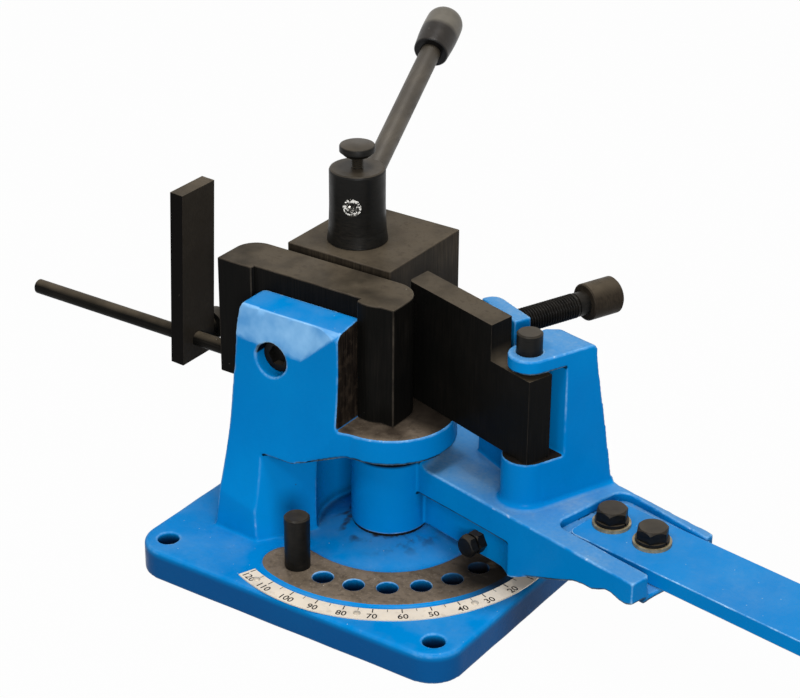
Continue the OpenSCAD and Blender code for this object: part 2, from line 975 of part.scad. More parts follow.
module bending_arm() {
    color(blue)
        at_arm()
            difference() {
                union() {
                    translate([0, 0, arm_z0])
                        cylinder(r = hub_r, h = arm_z1 - arm_z0);
                    difference() {
                        union() {
                            translate([0, 0, deck_z0])
                                linear_extrude(deck_t)
                                    deck_plan();
                            intersection() {
                                along_y(arm_back - 13, arm_back + 10)
                                    skirt_back();
                                translate([0, 0, deck_z - 60])
                                    linear_extrude(80)
                                        deck_plan();
                            }
                        }
                        back_rim_cut();
                    }
                    intersection() {
                        hub_fillet();
                        translate([0, 0, deck_z - 2])
                            linear_extrude(30)
                                deck_plan();
                    }
                    difference() {
                        along_y(0.5, 14)
                            skirt_front();
                        recess();
                    }
                    translate([10, wall_v, deck_z - 45.5])
                        cube([bolt_u + 10, 12, 46.5 - deck_t]);
                    translate([pocket_u - 8, 12, floor_z - 4])
                        cube([arm_l - pocket_u + 7.7, arm_back - 14, 8]);
                    for (i = [0, 1]) {
                        translate(lever_bolt_at(i))
                            translate([0, 0, floor_z - 15])
                                cylinder(r = 15, h = 12);
                    }
                    pin_bracket();
                    intersection() {
                        foot_fillet();
                        translate([0, 0, deck_z - 2])
                            linear_extrude(30)
                                deck_plan();
                    }
                    adjuster_lug();
                }
                translate([0, 0, arm_z0 - 1])
                    cylinder(d = bush_d, h = arm_z1);
                lever_pocket();
                for (i = [0, 1]) {
                    translate(lever_bolt_at(i))
                        translate([0, 0, floor_z - 30])
                            cylinder(d = lever_bolt_d, h = 60);
                }
                translate([bolt_u, -20, bolt_z])
                    rotate([-90, 0, 0])
                        cylinder(d = bolt_d + 2 * run_fit, h = 60);
                translate([adjust_u, adjust_v, adjust_z])
                    rotate([0, 0, adjust_turn])
                        rotate([-90, 0, 0])
                            translate([0, 0, -60])
                                cylinder(d = adjust_d + 2 * run_fit, h = 120);
                translate([pin_u, pin_v, pin_low - 1])
                    cylinder(d = plate_pin_d + 2 * run_fit, h = 200);
            }
}

// Position of lever bolt i in the arm's own directions
function lever_bolt_at(i) = [
    lever_u + i * lever_pitch * cos(lever_skew),
    lever_v + i * lever_pitch * sin(lever_skew),
    0
];

// Hollow fillet between the hub and the deck
module hub_fillet() {
    translate([0, 0, deck_z])
        rotate_extrude()
            fillet_section(hub_r, 8);
}

// Recess in the arm's front for the stop bolt, with a round end
module recess() {
    end_r = 40;
    end_u = bolt_u + bolt_hex / 2 + 3;
    linear_extrude(deck_z0) {
        translate([-50, -30])
            square([end_u + 50, 30 + wall_v]);
        translate([end_u, wall_v - end_r])
            circle(r = end_r);
    }
}

// Pocket for the lever bar, open at the arm's end
module lever_pocket() {
    r = 9;
    translate([0, 0, floor_z])
        linear_extrude(60)
            round_rect(pocket_u, pocket_v0, arm_l + 40, pocket_v1, r);
}

module arm_bush() {
    color([0.6, 0.45, 0.2])
        at_pivot()
            translate([0, 0, arm_z0])
                difference() {
                    cylinder(d = bush_d, h = arm_z1 - arm_z0);
                    translate([0, 0, -1])
                        cylinder(d = pivot_d + 2 * run_fit, h = arm_z1 - arm_z0 + 2);
                }
}

// Moves children to the stop bolt's axis, which becomes Z, starting at the recess wall and pointing out
module at_stop_bolt() {
    at_arm()
        translate([bolt_u, wall_v, bolt_z])
            rotate([90, 0, 0])
                children();
}

module stop_bolt() {
    head_z = nut_t + head_gap;
    color(black)
        at_stop_bolt()
            union() {
                translate([0, 0, -20])
                    cylinder(d = bolt_d, h = 20 + head_z + 1);
                intersection() {
                    translate([0, 0, head_z])
                        cylinder(d = bolt_hex / cos(30), h = head_t, $fn = 6);
                    translate([0, 0, head_z])
                        cylinder(d1 = bolt_hex * 1.7, d2 = bolt_hex * 0.95, h = head_t);
                }
            }
}

module stop_lock_nut() {
    color(black)
        at_stop_bolt()
            difference() {
                intersection() {
                    cylinder(d = bolt_hex / cos(30), h = nut_t, $fn = 6);
                    cylinder(d1 = bolt_hex * 1.6, d2 = bolt_hex * 1.02, h = nut_t);
                }
                translate([0, 0, -1])
                    cylinder(d = bolt_d + 2 * run_fit, h = nut_t + 2);
            }
}

// Plan of the bending plate: round inner edge, slanted inner end
module plate_plan() {
    r = 4;
    difference() {
        polygon([
            [-7, plate_face],
            [plate_s1, plate_face],
            [plate_s1, plate_face + plate_t],
            [-11, plate_face + plate_t]
        ]);
        difference() {
            translate([-12, plate_face - 1])
                square([5 + r, r + 1]);
            translate([r - 7.9, plate_face + r])
                circle(r = r);
            translate([r - 7.9, plate_face - 2])
                square([20, r + 4]);
        }
    }
}

module bending_plate() {
    color(black)
        difference() {
            at_pivot(plate_angle)
                difference() {
                    translate([0, 0, plate_z0])
                        linear_extrude(plate_z1 - plate_z0)
                            plate_plan();
                    translate([0, 0, plate_low])
                        linear_extrude(100)
                            polygon([
                                [plate_step, plate_face - 1],
                                [plate_s1 + 1, plate_face - 1],
                                [plate_s1 + 1, plate_face + plate_t + 1],
                                [plate_step - 2.5, plate_face + plate_t + 1]
                            ]);
                }
            at_arm()
                translate([pin_u, pin_v, 0])
                    cylinder(d = plate_pin_d + 2 * run_fit, h = 300);
        }
}

module plate_pin() {
    color(black)
        at_arm()
            translate([pin_u, pin_v, pin_low])
                union() {
                    cylinder(d = plate_pin_d, h = pin_top - pin_low - 1);
                    translate([0, 0, pin_top - pin_low - 1])
                        cylinder(d1 = plate_pin_d, d2 = plate_pin_d - 2, h = 1);
                }
}

module adjusting_screw() {
    color(black)
        at_adjuster()
            union() {
                translate([0, 0, tip_l - adjust_tip])
                    cylinder(d = adjust_d, h = adjust_tip + thread_end - tip_l);
                translate([0, 0, -adjust_tip])
                    cylinder(d1 = tip_d, d2 = adjust_d, h = tip_l);
                translate([0, 0, thread_end])
                    cylinder(d = neck_d, h = neck_l);
            }
}

module adjusting_knob() {
    knob_d = 1.5 * adjust_d;
    color(black)
        at_adjuster()
            translate([0, 0, thread_end + neck_l - 18.5])
                difference() {
                    union() {
                        translate([0, 0, 0.8])
                            cylinder(d = knob_d, h = 21.2);
                        cylinder(d1 = knob_d - 1.6, d2 = knob_d, h = 0.8);
                        translate([0, 0, 22])
                            cylinder(d1 = knob_d, d2 = knob_d - 3, h = 1.5);
                    }
                    translate([0, 0, -1])
                        cylinder(d = neck_d, h = 19.5);
                }
}

module lever_bar() {
    r = 6;
    color(blue)
        difference() {
            at_lever()
                translate([0, 0, floor_z])
                    linear_extrude(lever_t)
                        round_rect(-14, -lever_w / 2, lever_l - 14, lever_w / 2, r);
            at_lever_bolts()
                cylinder(d = lever_bolt_d + 2 * seat_gap, h = 200);
        }
}

module lever_bolts() {
    head_z = lever_z1 + 2 * lever_washer_t;
    color(black)
        at_lever_bolts()
            union() {
                translate([0, 0, floor_z - 13])
                    cylinder(d = lever_bolt_d, h = head_z - floor_z + 14);
                intersection() {
                    translate([0, 0, head_z])
                        cylinder(d = lever_bolt_d * 1.5 / cos(30), h = lever_bolt_d * 0.625, $fn = 6);
                    translate([0, 0, head_z])
                        cylinder(d1 = lever_bolt_d * 2.6, d2 = lever_bolt_d * 1.42,
                            h = lever_bolt_d * 0.625);
                }
            }
}

// A flat ring at height z
module flat_ring(inner, outer, z, h) {
    translate([0, 0, z])
        difference() {
            cylinder(d = outer, h = h);
            translate([0, 0, -1])
                cylinder(d = inner, h = h + 2);
        }
}

module lever_spring_washers() {
    color(black)
        at_lever_bolts()
            difference() {
                flat_ring(lever_bolt_d + 2 * seat_gap, lever_bolt_d * 1.75, lever_z1 + lever_washer_t,
                    lever_washer_t);
                translate([0, -0.6, lever_z1])
                    cube([20, 1.2, 10]);
            }
}

module lever_flat_washers() {
    color([0.79, 0.72, 0.56])
        at_lever_bolts()
            flat_ring(lever_bolt_d + 2 * seat_gap, lever_bolt_d * 2, lever_z1, lever_washer_t);
}

module clamp_block() {
    travel = cam_throw + 1;
    color(black)
        difference() {
            translate([block_x0, block_y0, block_z0])
                cube([block_l, block_w, block_h]);
            translate([shaft_x - cam_d / 2 - travel, shaft_y - cam_d / 2 - cam_gap, shelf_z - 1])
                cube([cam_d + 2 * travel, cam_d + 2 * cam_gap, cam_z1 + 1 - shelf_z + 1]);
            at_shaft()
                translate([0, 0, shelf_z])
                    linear_extrude(200)
                        round_rect(-shaft_d / 2 - 0.5, -shaft_d / 2 - travel, shaft_d / 2 + 0.5,
                            shaft_d / 2 + travel, shaft_d / 2);
        }
}

module eccentric_shaft() {
    color(black)
        at_shaft()
            union() {
                translate([0, 0, shaft_low])
                    cylinder(d = shaft_d, h = hub_z0 + 0.8 * shaft_d - shaft_low);
                translate([cam_throw, 0, block_z0 + 0.2])
                    cylinder(d = cam_d, h = cam_z1 - block_z0 - 0.2);
            }
}

// Section of the clamp hub: flared foot, plain side, rounded top edge
module hub_section() {
    r = hub_d / 2;
    polygon([
        [0, 0],
        [r + 1.6, 0],
        [r + 1.2, 3],
        [r + 0.6, 8],
        [r + 0.3, 14],
        [r, 24],
        [r, hub_h - 1.6],
        [r - 0.5, hub_h - 0.5],
        [r - 1.6, hub_h],
        [0, hub_h]
    ]);
}

// Moves children to the handle's axis, which becomes Z
module at_handle() {
    at_shaft()
        translate([0, 0, handle_z])
            rotate([0, 90 - handle_rise, handle_dir])
                children();
}

// Moves children to the set screw's axis, which becomes Z and points out of the hub
module at_set_screw() {
    at_shaft()
        translate([0, 0, hub_z0 + 28.6])
            rotate([0, 90, -66])
                children();
}

module clamp_hub() {
    color(black)
        difference() {
            at_shaft()
                translate([0, 0, hub_z0])
                    rotate_extrude()
                        hub_section();
            at_shaft()
                translate([0, 0, hub_z0 - 1])
                    cylinder(d = shaft_d, h = 0.8 * shaft_d + 1);
            at_handle()
                translate([0, 0, -2])
                    cylinder(d = handle_d, h = 60);
            at_set_screw()
                translate([0, 0, 7])
                    cylinder(d = 12, h = 30);
            at_shaft()
                translate([0, 0, hub_z1 - 12])
                    cylinder(d = 8 + 2 * run_fit, h = 20);
        }
}

module hub_set_screw() {
    color([0.7, 0.7, 0.68])
        at_set_screw()
            translate([0, 0, 7])
                difference() {
                    cylinder(d = 12, h = hub_d / 2 - 7.6);
                    translate([0, 0, hub_d / 2 - 12.6])
                        cylinder(d = 6 / cos(30), h = 10, $fn = 6);
                }
}

module hub_thumb_screw() {
    color(black)
        at_shaft()
            union() {
                translate([0, 0, hub_z1 - 11.5])
                    cylinder(d = 8, h = 20.5);
                translate([0, 0, hub_z1 + 8.5])
                    cylinder(d1 = 17, d2 = 22, h = 2.5);
                translate([0, 0, hub_z1 + 11])
                    cylinder(d = 23, h = 4);
                translate([0, 0, hub_z1 + 15])
                    cylinder(d1 = 23, d2 = 22, h = 0.5);
            }
}

module clamp_handle() {
    color([0.48, 0.45, 0.41])
        at_handle()
            translate([0, 0, -2])
                cylinder(d = handle_d, h = handle_len + 28);
}

// Section of the barrel knob: narrow flat base, bulging side, round end
module knob_section() {
    intersection() {
        square([20, 60]);
        union() {
            polygon([
                [0, 0],
                [10.3, 0],
                [11.2, 3],
                [11.9, 7],
                [12.4, 12],
                [12.6, 18],
                [12.5, 24],
                [12.2, 29.5],
                [0, 29.5]
            ]);
            translate([0, 29.5])
                circle(r = 12.2);
        }
    }
}

module clamp_knob() {
    color(black)
        at_handle()
            translate([0, 0, handle_len])
                difference() {
                    rotate_extrude()
                        knob_section();
                    translate([0, 0, -1])
                        cylinder(d = handle_d, h = 27);
                }
}

base_casting();
bending_die();
die_screw();
angle_scale();
scale_rivets();
pivot_pin();
thrust_washer();
stop_rod();
stop_plate();
stop_lock_screw();
angle_stop_pin();
bending_arm();
arm_bush();
stop_bolt();
stop_lock_nut();
bending_plate();
plate_pin();
adjusting_screw();
adjusting_knob();
lever_bar();
lever_bolts();
lever_spring_washers();
lever_flat_washers();
clamp_block();
eccentric_shaft();
clamp_hub();
hub_set_screw();
hub_thumb_screw();
clamp_handle();
clamp_knob();
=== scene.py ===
"""Looks of a bar bender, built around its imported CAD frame. Lengths in tables and calls are millimetres."""

import math

import bmesh
import bpy
import numpy as np
from mathutils import Matrix, Vector


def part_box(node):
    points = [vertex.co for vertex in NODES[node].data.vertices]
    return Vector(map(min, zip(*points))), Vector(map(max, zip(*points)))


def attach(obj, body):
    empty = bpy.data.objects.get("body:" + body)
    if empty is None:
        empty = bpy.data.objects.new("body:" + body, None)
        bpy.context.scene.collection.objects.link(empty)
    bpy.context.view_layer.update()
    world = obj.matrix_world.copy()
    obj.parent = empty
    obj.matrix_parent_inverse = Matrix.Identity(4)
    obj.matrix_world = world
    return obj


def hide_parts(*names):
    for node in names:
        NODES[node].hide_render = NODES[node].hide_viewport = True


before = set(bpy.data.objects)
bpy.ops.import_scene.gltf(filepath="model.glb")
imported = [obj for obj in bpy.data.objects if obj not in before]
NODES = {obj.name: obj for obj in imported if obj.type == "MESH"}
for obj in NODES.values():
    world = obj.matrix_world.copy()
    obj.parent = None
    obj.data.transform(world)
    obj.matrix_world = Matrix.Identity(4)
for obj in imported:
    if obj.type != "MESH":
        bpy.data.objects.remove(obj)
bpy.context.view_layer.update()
MM = 0.001

# Places that the part's source gives, in millimetres and degrees
PIVOT = np.array([5.0, -7.0])
ARM_TURN = -13.6
SCREW_PLACE, SCREW_TURN, SCREW_Z = np.array([56.9, 63.4]), -8.9, 170.2
SCREW_TIP, SCREW_THREAD_END, SCREW_NECK = -28.5, 36.0, 62.0
SHAFT = np.array([-55.9, 43.7])
HUB_TOP, HANDLE_Z, HANDLE_LENGTH = 239.5, 214.1, 154.0
HANDLE_WAY = np.array([-0.24321, 0.90768, 0.34202])
KNOB_START = np.append(SHAFT, HANDLE_Z) + HANDLE_LENGTH * HANDLE_WAY
SCALE_R, SCALE_TOP, SCALE_ZERO = 101.5, 21.8, 8.6
INDEX_R, INDEX_FIRST, INDEX_STEP, INDEX_COUNT = 78.75, -103.2, 15.5, 7
LEVER_PLACE, LEVER_SKEW, LEVER_TOP = np.array([151.0, 45.8]), 4.3, 71.5
DECK_Z = 75.5
PLATE_PIN, STOP_BOLT, STOP_BOLT_Z = (97.4, 23.6), (75.0, 8.0), 40.0
UPRIGHT = (0, 0, 1)

# Radii of the machined bores
PIVOT_BORE, BUSH_BORE, INDEX_BORE = 12.0, 15.0, 6.7
PIN_BORE, SCREW_BORE, BOLT_BORE = 8.05, 8.05, 4.05


def turned_to(angle):
    """2 by 2 matrix that turns by an angle in degrees."""
    c, s = math.cos(math.radians(angle)), math.sin(math.radians(angle))
    return np.array([[c, -s], [s, c]])


def from_arm(place):
    """A point of the arm's own directions, u along it and v across it, in the frame's X and Y."""
    return PIVOT + turned_to(ARM_TURN) @ np.asarray(place, float)


# Materials


def linear(hex_colour):
    """An sRGB hex colour as linear red, green, blue and alpha."""
    parts = np.array([int(hex_colour[i:i + 2], 16) for i in (1, 3, 5)]) / 255
    curve = np.where(parts <= 0.04045, parts / 12.92, ((parts + 0.055) / 1.055) ** 2.4)
    return tuple(curve) + (1.0,)


def add(tree, kind, settings=None, links=None):
    """Adds a shader node. A setting names an attribute or an input; a link gives an input its source."""
    node = tree.nodes.new("ShaderNode" + kind)
    for key, value in (settings or {}).items():
        if isinstance(key, str) and hasattr(node, key):
            setattr(node, key, value)
        else:
            node.inputs[key].default_value = value
    for key, source in (links or {}).items():
        tree.links.new(source, node.inputs[key])
    return node


def new_finish(name, **sockets):
    """A new node material with its shader's plain sockets set: gives material, tree, shader, Object coordinates."""
    finish = bpy.data.materials.new(name)
    finish.use_nodes = True
    tree = finish.node_tree
    shader = tree.nodes["Principled BSDF"]
    for key, value in sockets.items():
        shader.inputs[key.replace("_", " ")].default_value = value
    return finish, tree, shader, add(tree, "TexCoord").outputs["Object"]


def cloud(tree, place, size, low, high, to=(0.0, 1.0), detail=3.0, stretch=(1, 1, 1)):
    """Soft patches about size mm across: fractal noise whose values from low to high spread over the range to."""
    scaled = add(tree, "Mapping", {"Scale": stretch}, {"Vector": place})
    noise = add(tree, "TexNoise", {"Scale": 1 / (size * MM), "Detail": detail}, {"Vector": scaled.outputs[0]})
    spread = {"From Min": low, "From Max": high, "To Min": to[0], "To Max": to[1]}
    return add(tree, "MapRange", spread, {"Value": noise.outputs[0]}).outputs[0]


def specks(tree, place, spacing, radius, share):
    """Round specks of a radius: the points of a cell pattern, kept in a share of the cells."""
    cells = add(tree, "TexVoronoi", {"Scale": 1 / (spacing * MM)}, {"Vector": place})
    dot = add(tree, "MapRange", {"From Min": radius / spacing, "From Max": 0.5 * radius / spacing},
              {"Value": cells.outputs["Distance"]})
    chance = add(tree, "SeparateColor", {}, {"Color": cells.outputs["Color"]})
    kept = add(tree, "Math", {"operation": "LESS_THAN", 1: share}, {0: chance.outputs[0]})
    return add(tree, "Math", {"operation": "MULTIPLY"}, {0: dot.outputs[0], 1: kept.outputs[0]}).outputs[0]


def facing_up(tree, low, high, most=1.0):
    """0 to most as a surface turns from a slope of low to one of high, by the height of its normal."""
    normal = add(tree, "SeparateXYZ", {}, {0: add(tree, "NewGeometry").outputs["Normal"]})
    return add(tree, "MapRange", {"From Min": low, "From Max": high, "To Max": most},
               {"Value": normal.outputs[2]}).outputs[0]


def layers(tree, under, *coats):
    """Colours laid over each other: a coat is a hex colour and the masks whose product says where it shows."""
    colour = None
    for over, mask, *others in coats:
        for other in others:
            mask = add(tree, "Math", {"operation": "MULTIPLY"}, {0: mask, 1: other}).outputs[0]
        settings = {"data_type": "RGBA", 7: linear(over)}
        links = {0: mask}
        if colour is None:
            settings[6] = linear(under)
        else:
            links[6] = colour
        colour = add(tree, "Mix", settings, links).outputs[2]
    return colour


def bumped(tree, shader, *reliefs):
    """Relief on the shader's normal: each one is a height mask and its depth in mm."""
    normal = None
    for height, depth in reliefs:
        links = {"Height": height} if normal is None else {"Height": height, "Normal": normal}
        normal = add(tree, "Bump", {"Distance": depth * MM}, links).outputs[0]
    tree.links.new(normal, shader.inputs["Normal"])


# The enamel's gloss is low, because the photograph's keeps its full blue on upright faces. The rest is in mm: heights
# between which the enamel darkens towards the ground, distances over which grease fades in towards the pivot and oil
# towards its spill, the index pad's inner edge, the height above which a face that looks down gets a painted shadow
# line, the stretch of Y over which shade is painted on the shelf beside the die, and the radius that holds the hub,
# inside which its wall gets a painted shadow under the shelf.
ENAMEL_GLOSS = 0.03
LOW_DARK_FADE, GREASE_FADE = (19.5, 15.5), (44.0, 28.0)
OIL, OIL_FADE = (90.0, -24.0), (46.0, 12.0)
PAD_EDGE, OVERHANG_Z = (57.0, 63.0), 40.0
SHELF_FADE, HUB_WALL = (-27.0, -10.0), 27.0


def machine_enamel(name, dust_and_sheen, stained, corner_shade, bare_tops=(), bare_side=None, hub_shadow_z=None):
    """Blue machine enamel sprayed on sand-cast iron: uneven, darker towards the ground, with dust on top that also
    lightens it as a painted sheen, pale at edges where paint is worn and a highlight is painted along them, with a
    painted highlight on the brow, painted shade in corners and a painted shadow line under overhangs, with old grease
    round the hub and, below the stained height, an oil stain where the stop bolt meets the index pad. Faces that look
    up at a bare height, beyond a distance from the pivot, are machined after painting and show oiled iron, and so are
    faces that look to the right beyond the bare side's X and above its height. Shade is painted on the shelf's iron
    beside the die. A hub shadow height is where a painted shadow begins on the hub wall under the shelf."""
    finish, tree, shader, place = new_finish(name, Specular_IOR_Level=ENAMEL_GLOSS)
    height = add(tree, "SeparateXYZ", {}, {0: place}).outputs[2]
    flat = add(tree, "VectorMath", {"operation": "MULTIPLY", 1: (1, 1, 0)}, {0: place}).outputs[0]
    reach = add(tree, "VectorMath", {"operation": "DISTANCE", 1: (PIVOT[0] * MM, PIVOT[1] * MM, 0)}, {0: flat})
    spill = add(tree, "VectorMath", {"operation": "DISTANCE", 1: (OIL[0] * MM, OIL[1] * MM, 0)}, {0: flat})
    edge = add(tree, "Attribute", {"attribute_name": "edge"}).outputs["Fac"]
    brow = add(tree, "Attribute", {"attribute_name": "brow"}).outputs["Fac"]
    worn_edge_highlight = add(tree, "MapRange", {"From Min": 0.3, "From Max": 0.9, "To Max": 0.6}, {"Value": edge}).outputs[0]
    # Painted shade: the enamel turns near black where ambient occlusion finds corners and recesses.
    crevice = add(tree, "AmbientOcclusion", {"samples": 8, "only_local": True, "Distance": 14 * MM}).outputs["AO"]
    painted_corner_shade = add(tree, "MapRange", {"From Min": 0.7, "From Max": 0.42, "To Max": corner_shade}, {"Value": crevice}).outputs[0]
    darker_low = add(tree, "MapRange", {"From Min": LOW_DARK_FADE[0] * MM, "From Max": LOW_DARK_FADE[1] * MM, "To Max": 0.75},
                 {"Value": height})
    low = add(tree, "MapRange", {"From Min": stained * MM, "From Max": 0.8 * stained * MM},
              {"Value": height}).outputs[0]
    greased = add(tree, "MapRange", {"From Min": GREASE_FADE[0] * MM, "From Max": GREASE_FADE[1] * MM, "To Max": 0.9},
                  {"Value": reach.outputs["Value"]}).outputs[0]
    oiled = add(tree, "MapRange", {"From Min": OIL_FADE[0] * MM, "From Max": OIL_FADE[1] * MM, "To Max": 0.97},
                {"Value": spill.outputs["Value"]}).outputs[0]
    outside = add(tree, "MapRange", {"From Min": PAD_EDGE[0] * MM, "From Max": PAD_EDGE[1] * MM},
                  {"Value": reach.outputs["Value"]}).outputs[0]
    stain = cloud(tree, place, 16.0, 0.1, 0.38)
    above = add(tree, "Math", {"operation": "GREATER_THAN", 1: OVERHANG_Z * MM}, {0: height}).outputs[0]
    colour = layers(
        tree, "#0075BB",
        ("#007DC2", cloud(tree, place, 70.0, 0.35, 0.7)),
        # darker towards the ground
        ("#0E3A70", darker_low.outputs[0]),
        # painted shade in corners and recesses
        ("#061730", painted_corner_shade),
        # painted shadow: a black line on faces that look down, above OVERHANG_Z
        ("#050B16", facing_up(tree, -0.06, -0.22), above, cloud(tree, place, 12.0, 0.25, 0.5, (0.6, 1.0))),
        # painted highlight: pale enamel on the column's brow
        ("#86BAE6", brow, cloud(tree, place, 17.0, 0.3, 0.65, (0.4, 1.0))),
        # dust on faces that look up, also a painted sheen that lightens them
        ("#93A9B4", facing_up(tree, 0.75, 0.97), cloud(tree, place, 28.0, 0.4, 0.75, dust_and_sheen),
         cloud(tree, place, 2.5, 0.2, 0.8, (0.5, 1.0))),
        # pale edges: worn paint, with a painted highlight along them
        ("#A9D0EA", worn_edge_highlight, cloud(tree, place, 14.0, 0.35, 0.65), cloud(tree, place, 2.0, 0.2, 0.55)),
        # white flecks on edges: painted glints, with some chipped paint
        ("#EAF2F6", worn_edge_highlight, cloud(tree, place, 7.0, 0.66, 0.74)),
        ("#A3BECC", facing_up(tree, 0.75, 0.97, 0.8), specks(tree, place, 4.5, 0.4, 0.25)),
        ("#2B241C", greased, low, facing_up(tree, 0.5, 0.9), cloud(tree, place, 12.0, 0.5, 0.62)),
        ("#14110E", oiled, low, outside, stain),
        ("#D9E6EC", specks(tree, place, 16.0, 0.5, 0.22)),
        ("#E4ECEE", specks(tree, place, 55.0, 1.2, 0.22)),
        ("#2B2520", specks(tree, place, 23.0, 0.45, 0.3)),
    )
    # painted shadow: a black band on the hub wall under the shelf
    if hub_shadow_z is not None:
        ring = add(tree, "MapRange", {"From Min": hub_shadow_z * MM, "From Max": (hub_shadow_z + 2) * MM}, {"Value": height})
        hub = add(tree, "Math", {"operation": "LESS_THAN", 1: HUB_WALL * MM}, {0: reach.outputs["Value"]})
        ring = add(tree, "Math", {"operation": "MULTIPLY"}, {0: ring.outputs[0], 1: hub.outputs[0]})
        black = {"data_type": "RGBA", 7: linear("#050B16")}
        colour = add(tree, "Mix", black, {0: ring.outputs[0], 6: colour}).outputs[2]
    rough = cloud(tree, place, 9.0, 0.3, 0.7, (0.22, 0.34))
    bare = None
    for level, nearest in bare_tops:
        near = add(tree, "Math", {"operation": "COMPARE", 1: level * MM, 2: 0.6 * MM}, {0: height}).outputs[0]
        away = add(tree, "Math", {"operation": "GREATER_THAN", 1: nearest * MM}, {0: reach.outputs["Value"]}).outputs[0]
        near = add(tree, "Math", {"operation": "MULTIPLY"}, {0: near, 1: away}).outputs[0]
        bare = near if bare is None else add(tree, "Math", {"operation": "MAXIMUM"}, {0: bare, 1: near}).outputs[0]
    if bare is not None:
        up = facing_up(tree, 0.72, 0.85)
        bare = add(tree, "Math", {"operation": "MULTIPLY"}, {0: bare, 1: up}).outputs[0]
        # painted shade: the shelf's iron darkens beside the die, over SHELF_FADE in Y
        depth = add(tree, "SeparateXYZ", {}, {0: place}).outputs[1]
        shaded = add(tree, "MapRange", {"From Min": SHELF_FADE[0] * MM, "From Max": SHELF_FADE[1] * MM, "To Max": 0.9},
                     {"Value": depth}).outputs[0]
        iron = layers(
            tree, "#5C5144",
            ("#75685A", cloud(tree, place, 18.0, 0.35, 0.7)),
            ("#383029", cloud(tree, place, 4.0, 0.5, 0.75, (0.0, 0.6))),
            ("#8A7C6C", cloud(tree, place, 1.6, 0.55, 0.75, (0.0, 0.5))),
            ("#241D18", above, cloud(tree, place, 26.0, 0.42, 0.6, (0.15, 0.8))),
            ("#15110E", above, shaded),
            ("#15120F", oiled, stain),
            ("#B9AFA2", specks(tree, place, 7.0, 0.4, 0.2)),
        )
        colour = add(tree, "Mix", {"data_type": "RGBA"}, {0: bare, 6: colour, 7: iron}).outputs[2]
        rough = add(tree, "Mix", {3: 0.55}, {0: bare, 2: rough}).outputs[0]
    if bare_side is not None:
        normal = add(tree, "SeparateXYZ", {}, {0: add(tree, "NewGeometry").outputs["Normal"]})
        right = add(tree, "MapRange", {"From Min": 0.6, "From Max": 0.85}, {"Value": normal.outputs[0]}).outputs[0]
        for coordinate, least in zip((0, 2), bare_side):
            beyond = add(tree, "SeparateXYZ", {}, {0: place}).outputs[coordinate]
            beyond = add(tree, "Math", {"operation": "GREATER_THAN", 1: least * MM}, {0: beyond}).outputs[0]
            right = add(tree, "Math", {"operation": "MULTIPLY"}, {0: right, 1: beyond}).outputs[0]
        milled = layers(tree, "#15110F", ("#2E2720", cloud(tree, place, 1.2, 0.4, 0.75, stretch=(1.0, 1.0, 0.05))),
                        ("#4A3E33", cloud(tree, place, 7.0, 0.5, 0.75, (0.0, 0.5))))
        colour = add(tree, "Mix", {"data_type": "RGBA"}, {0: right, 6: colour, 7: milled}).outputs[2]
    tree.links.new(colour, shader.inputs["Base Color"])
    tree.links.new(rough, shader.inputs["Roughness"])
    bumped(tree, shader, (cloud(tree, place, 9.0, 0.0, 1.0), 0.12), (cloud(tree, place, 1.8, 0.0, 1.0), 0.03))
    return finish


def black_oxide(name, stretch, under="#0A0A09", marks="#2A2621", gloss=0.03, film_sheen=0.8, front=0.0):
    """Steel with a hot black oxide finish: near black, satin, with grinding marks along the stretch, a brown film of
    oil and dust on faces that look up that also serves as a painted sheen, and edges rubbed to grey. Real marks are
    finer: these are drawn to show. The front is how strongly painted shade darkens the faces that look to the front."""
    finish, tree, shader, place = new_finish(name, Specular_IOR_Level=gloss)
    edge = add(tree, "Attribute", {"attribute_name": "edge"}).outputs["Fac"]
    film_and_sheen = facing_up(tree, 0.5, 0.95, film_sheen)
    patchy = cloud(tree, place, 22.0, 0.1, 0.6)
    grinding = cloud(tree, place, 0.9, 0.3, 0.7, stretch=stretch)
    normal = add(tree, "SeparateXYZ", {}, {0: add(tree, "NewGeometry").outputs["Normal"]})
    painted_front_shade = add(tree, "MapRange", {"From Min": -0.6, "From Max": -0.9, "To Max": front}, {"Value": normal.outputs[1]})
    colour = layers(
        tree, under,
        (marks, grinding, cloud(tree, place, 30.0, 0.4, 0.75, (0.15, 0.6))),
        # painted shade: faces that look to the front turn near black
        ("#050404", painted_front_shade.outputs[0]),
        # brown film of oil and dust on faces that look up, also a painted sheen
        ("#564D40", film_and_sheen, patchy),
        ("#3A332B", film_and_sheen, patchy, cloud(tree, place, 3.0, 0.55, 0.8)),
        ("#5A5248", edge, cloud(tree, place, 9.0, 0.2, 0.7, (0.0, 0.4))),
        ("#B8B0A4", specks(tree, place, 9.0, 0.35, 0.16)),
    )
    tree.links.new(colour, shader.inputs["Base Color"])
    tree.links.new(cloud(tree, place, 12.0, 0.3, 0.7, (0.32, 0.48)), shader.inputs["Roughness"])
    bumped(tree, shader, (grinding, 0.02), (cloud(tree, place, 2.0, 0.0, 1.0), 0.03))
    return finish


def drawn_steel():
    """Cold drawn steel bar, dulled by handling: grey-brown, satin, with long faint streaks."""
    finish, tree, shader, place = new_finish("drawn_steel_dulled", Metallic=0.25)
    along = (1.0, 0.1, 0.25)
    colour = layers(
        tree, "#3A342B",
        ("#4B4439", cloud(tree, place, 25.0, 0.4, 0.7)),
        ("#332D26", cloud(tree, place, 2.0, 0.3, 0.7, (0.0, 0.5), stretch=along)),
        ("#3A2F27", specks(tree, place, 8.0, 0.4, 0.2)),
    )
    tree.links.new(colour, shader.inputs["Base Color"])
    tree.links.new(cloud(tree, place, 2.0, 0.3, 0.7, (0.38, 0.55), stretch=along), shader.inputs["Roughness"])
    bumped(tree, shader, (cloud(tree, place, 2.0, 0.3, 0.7, stretch=along), 0.02))
    return finish


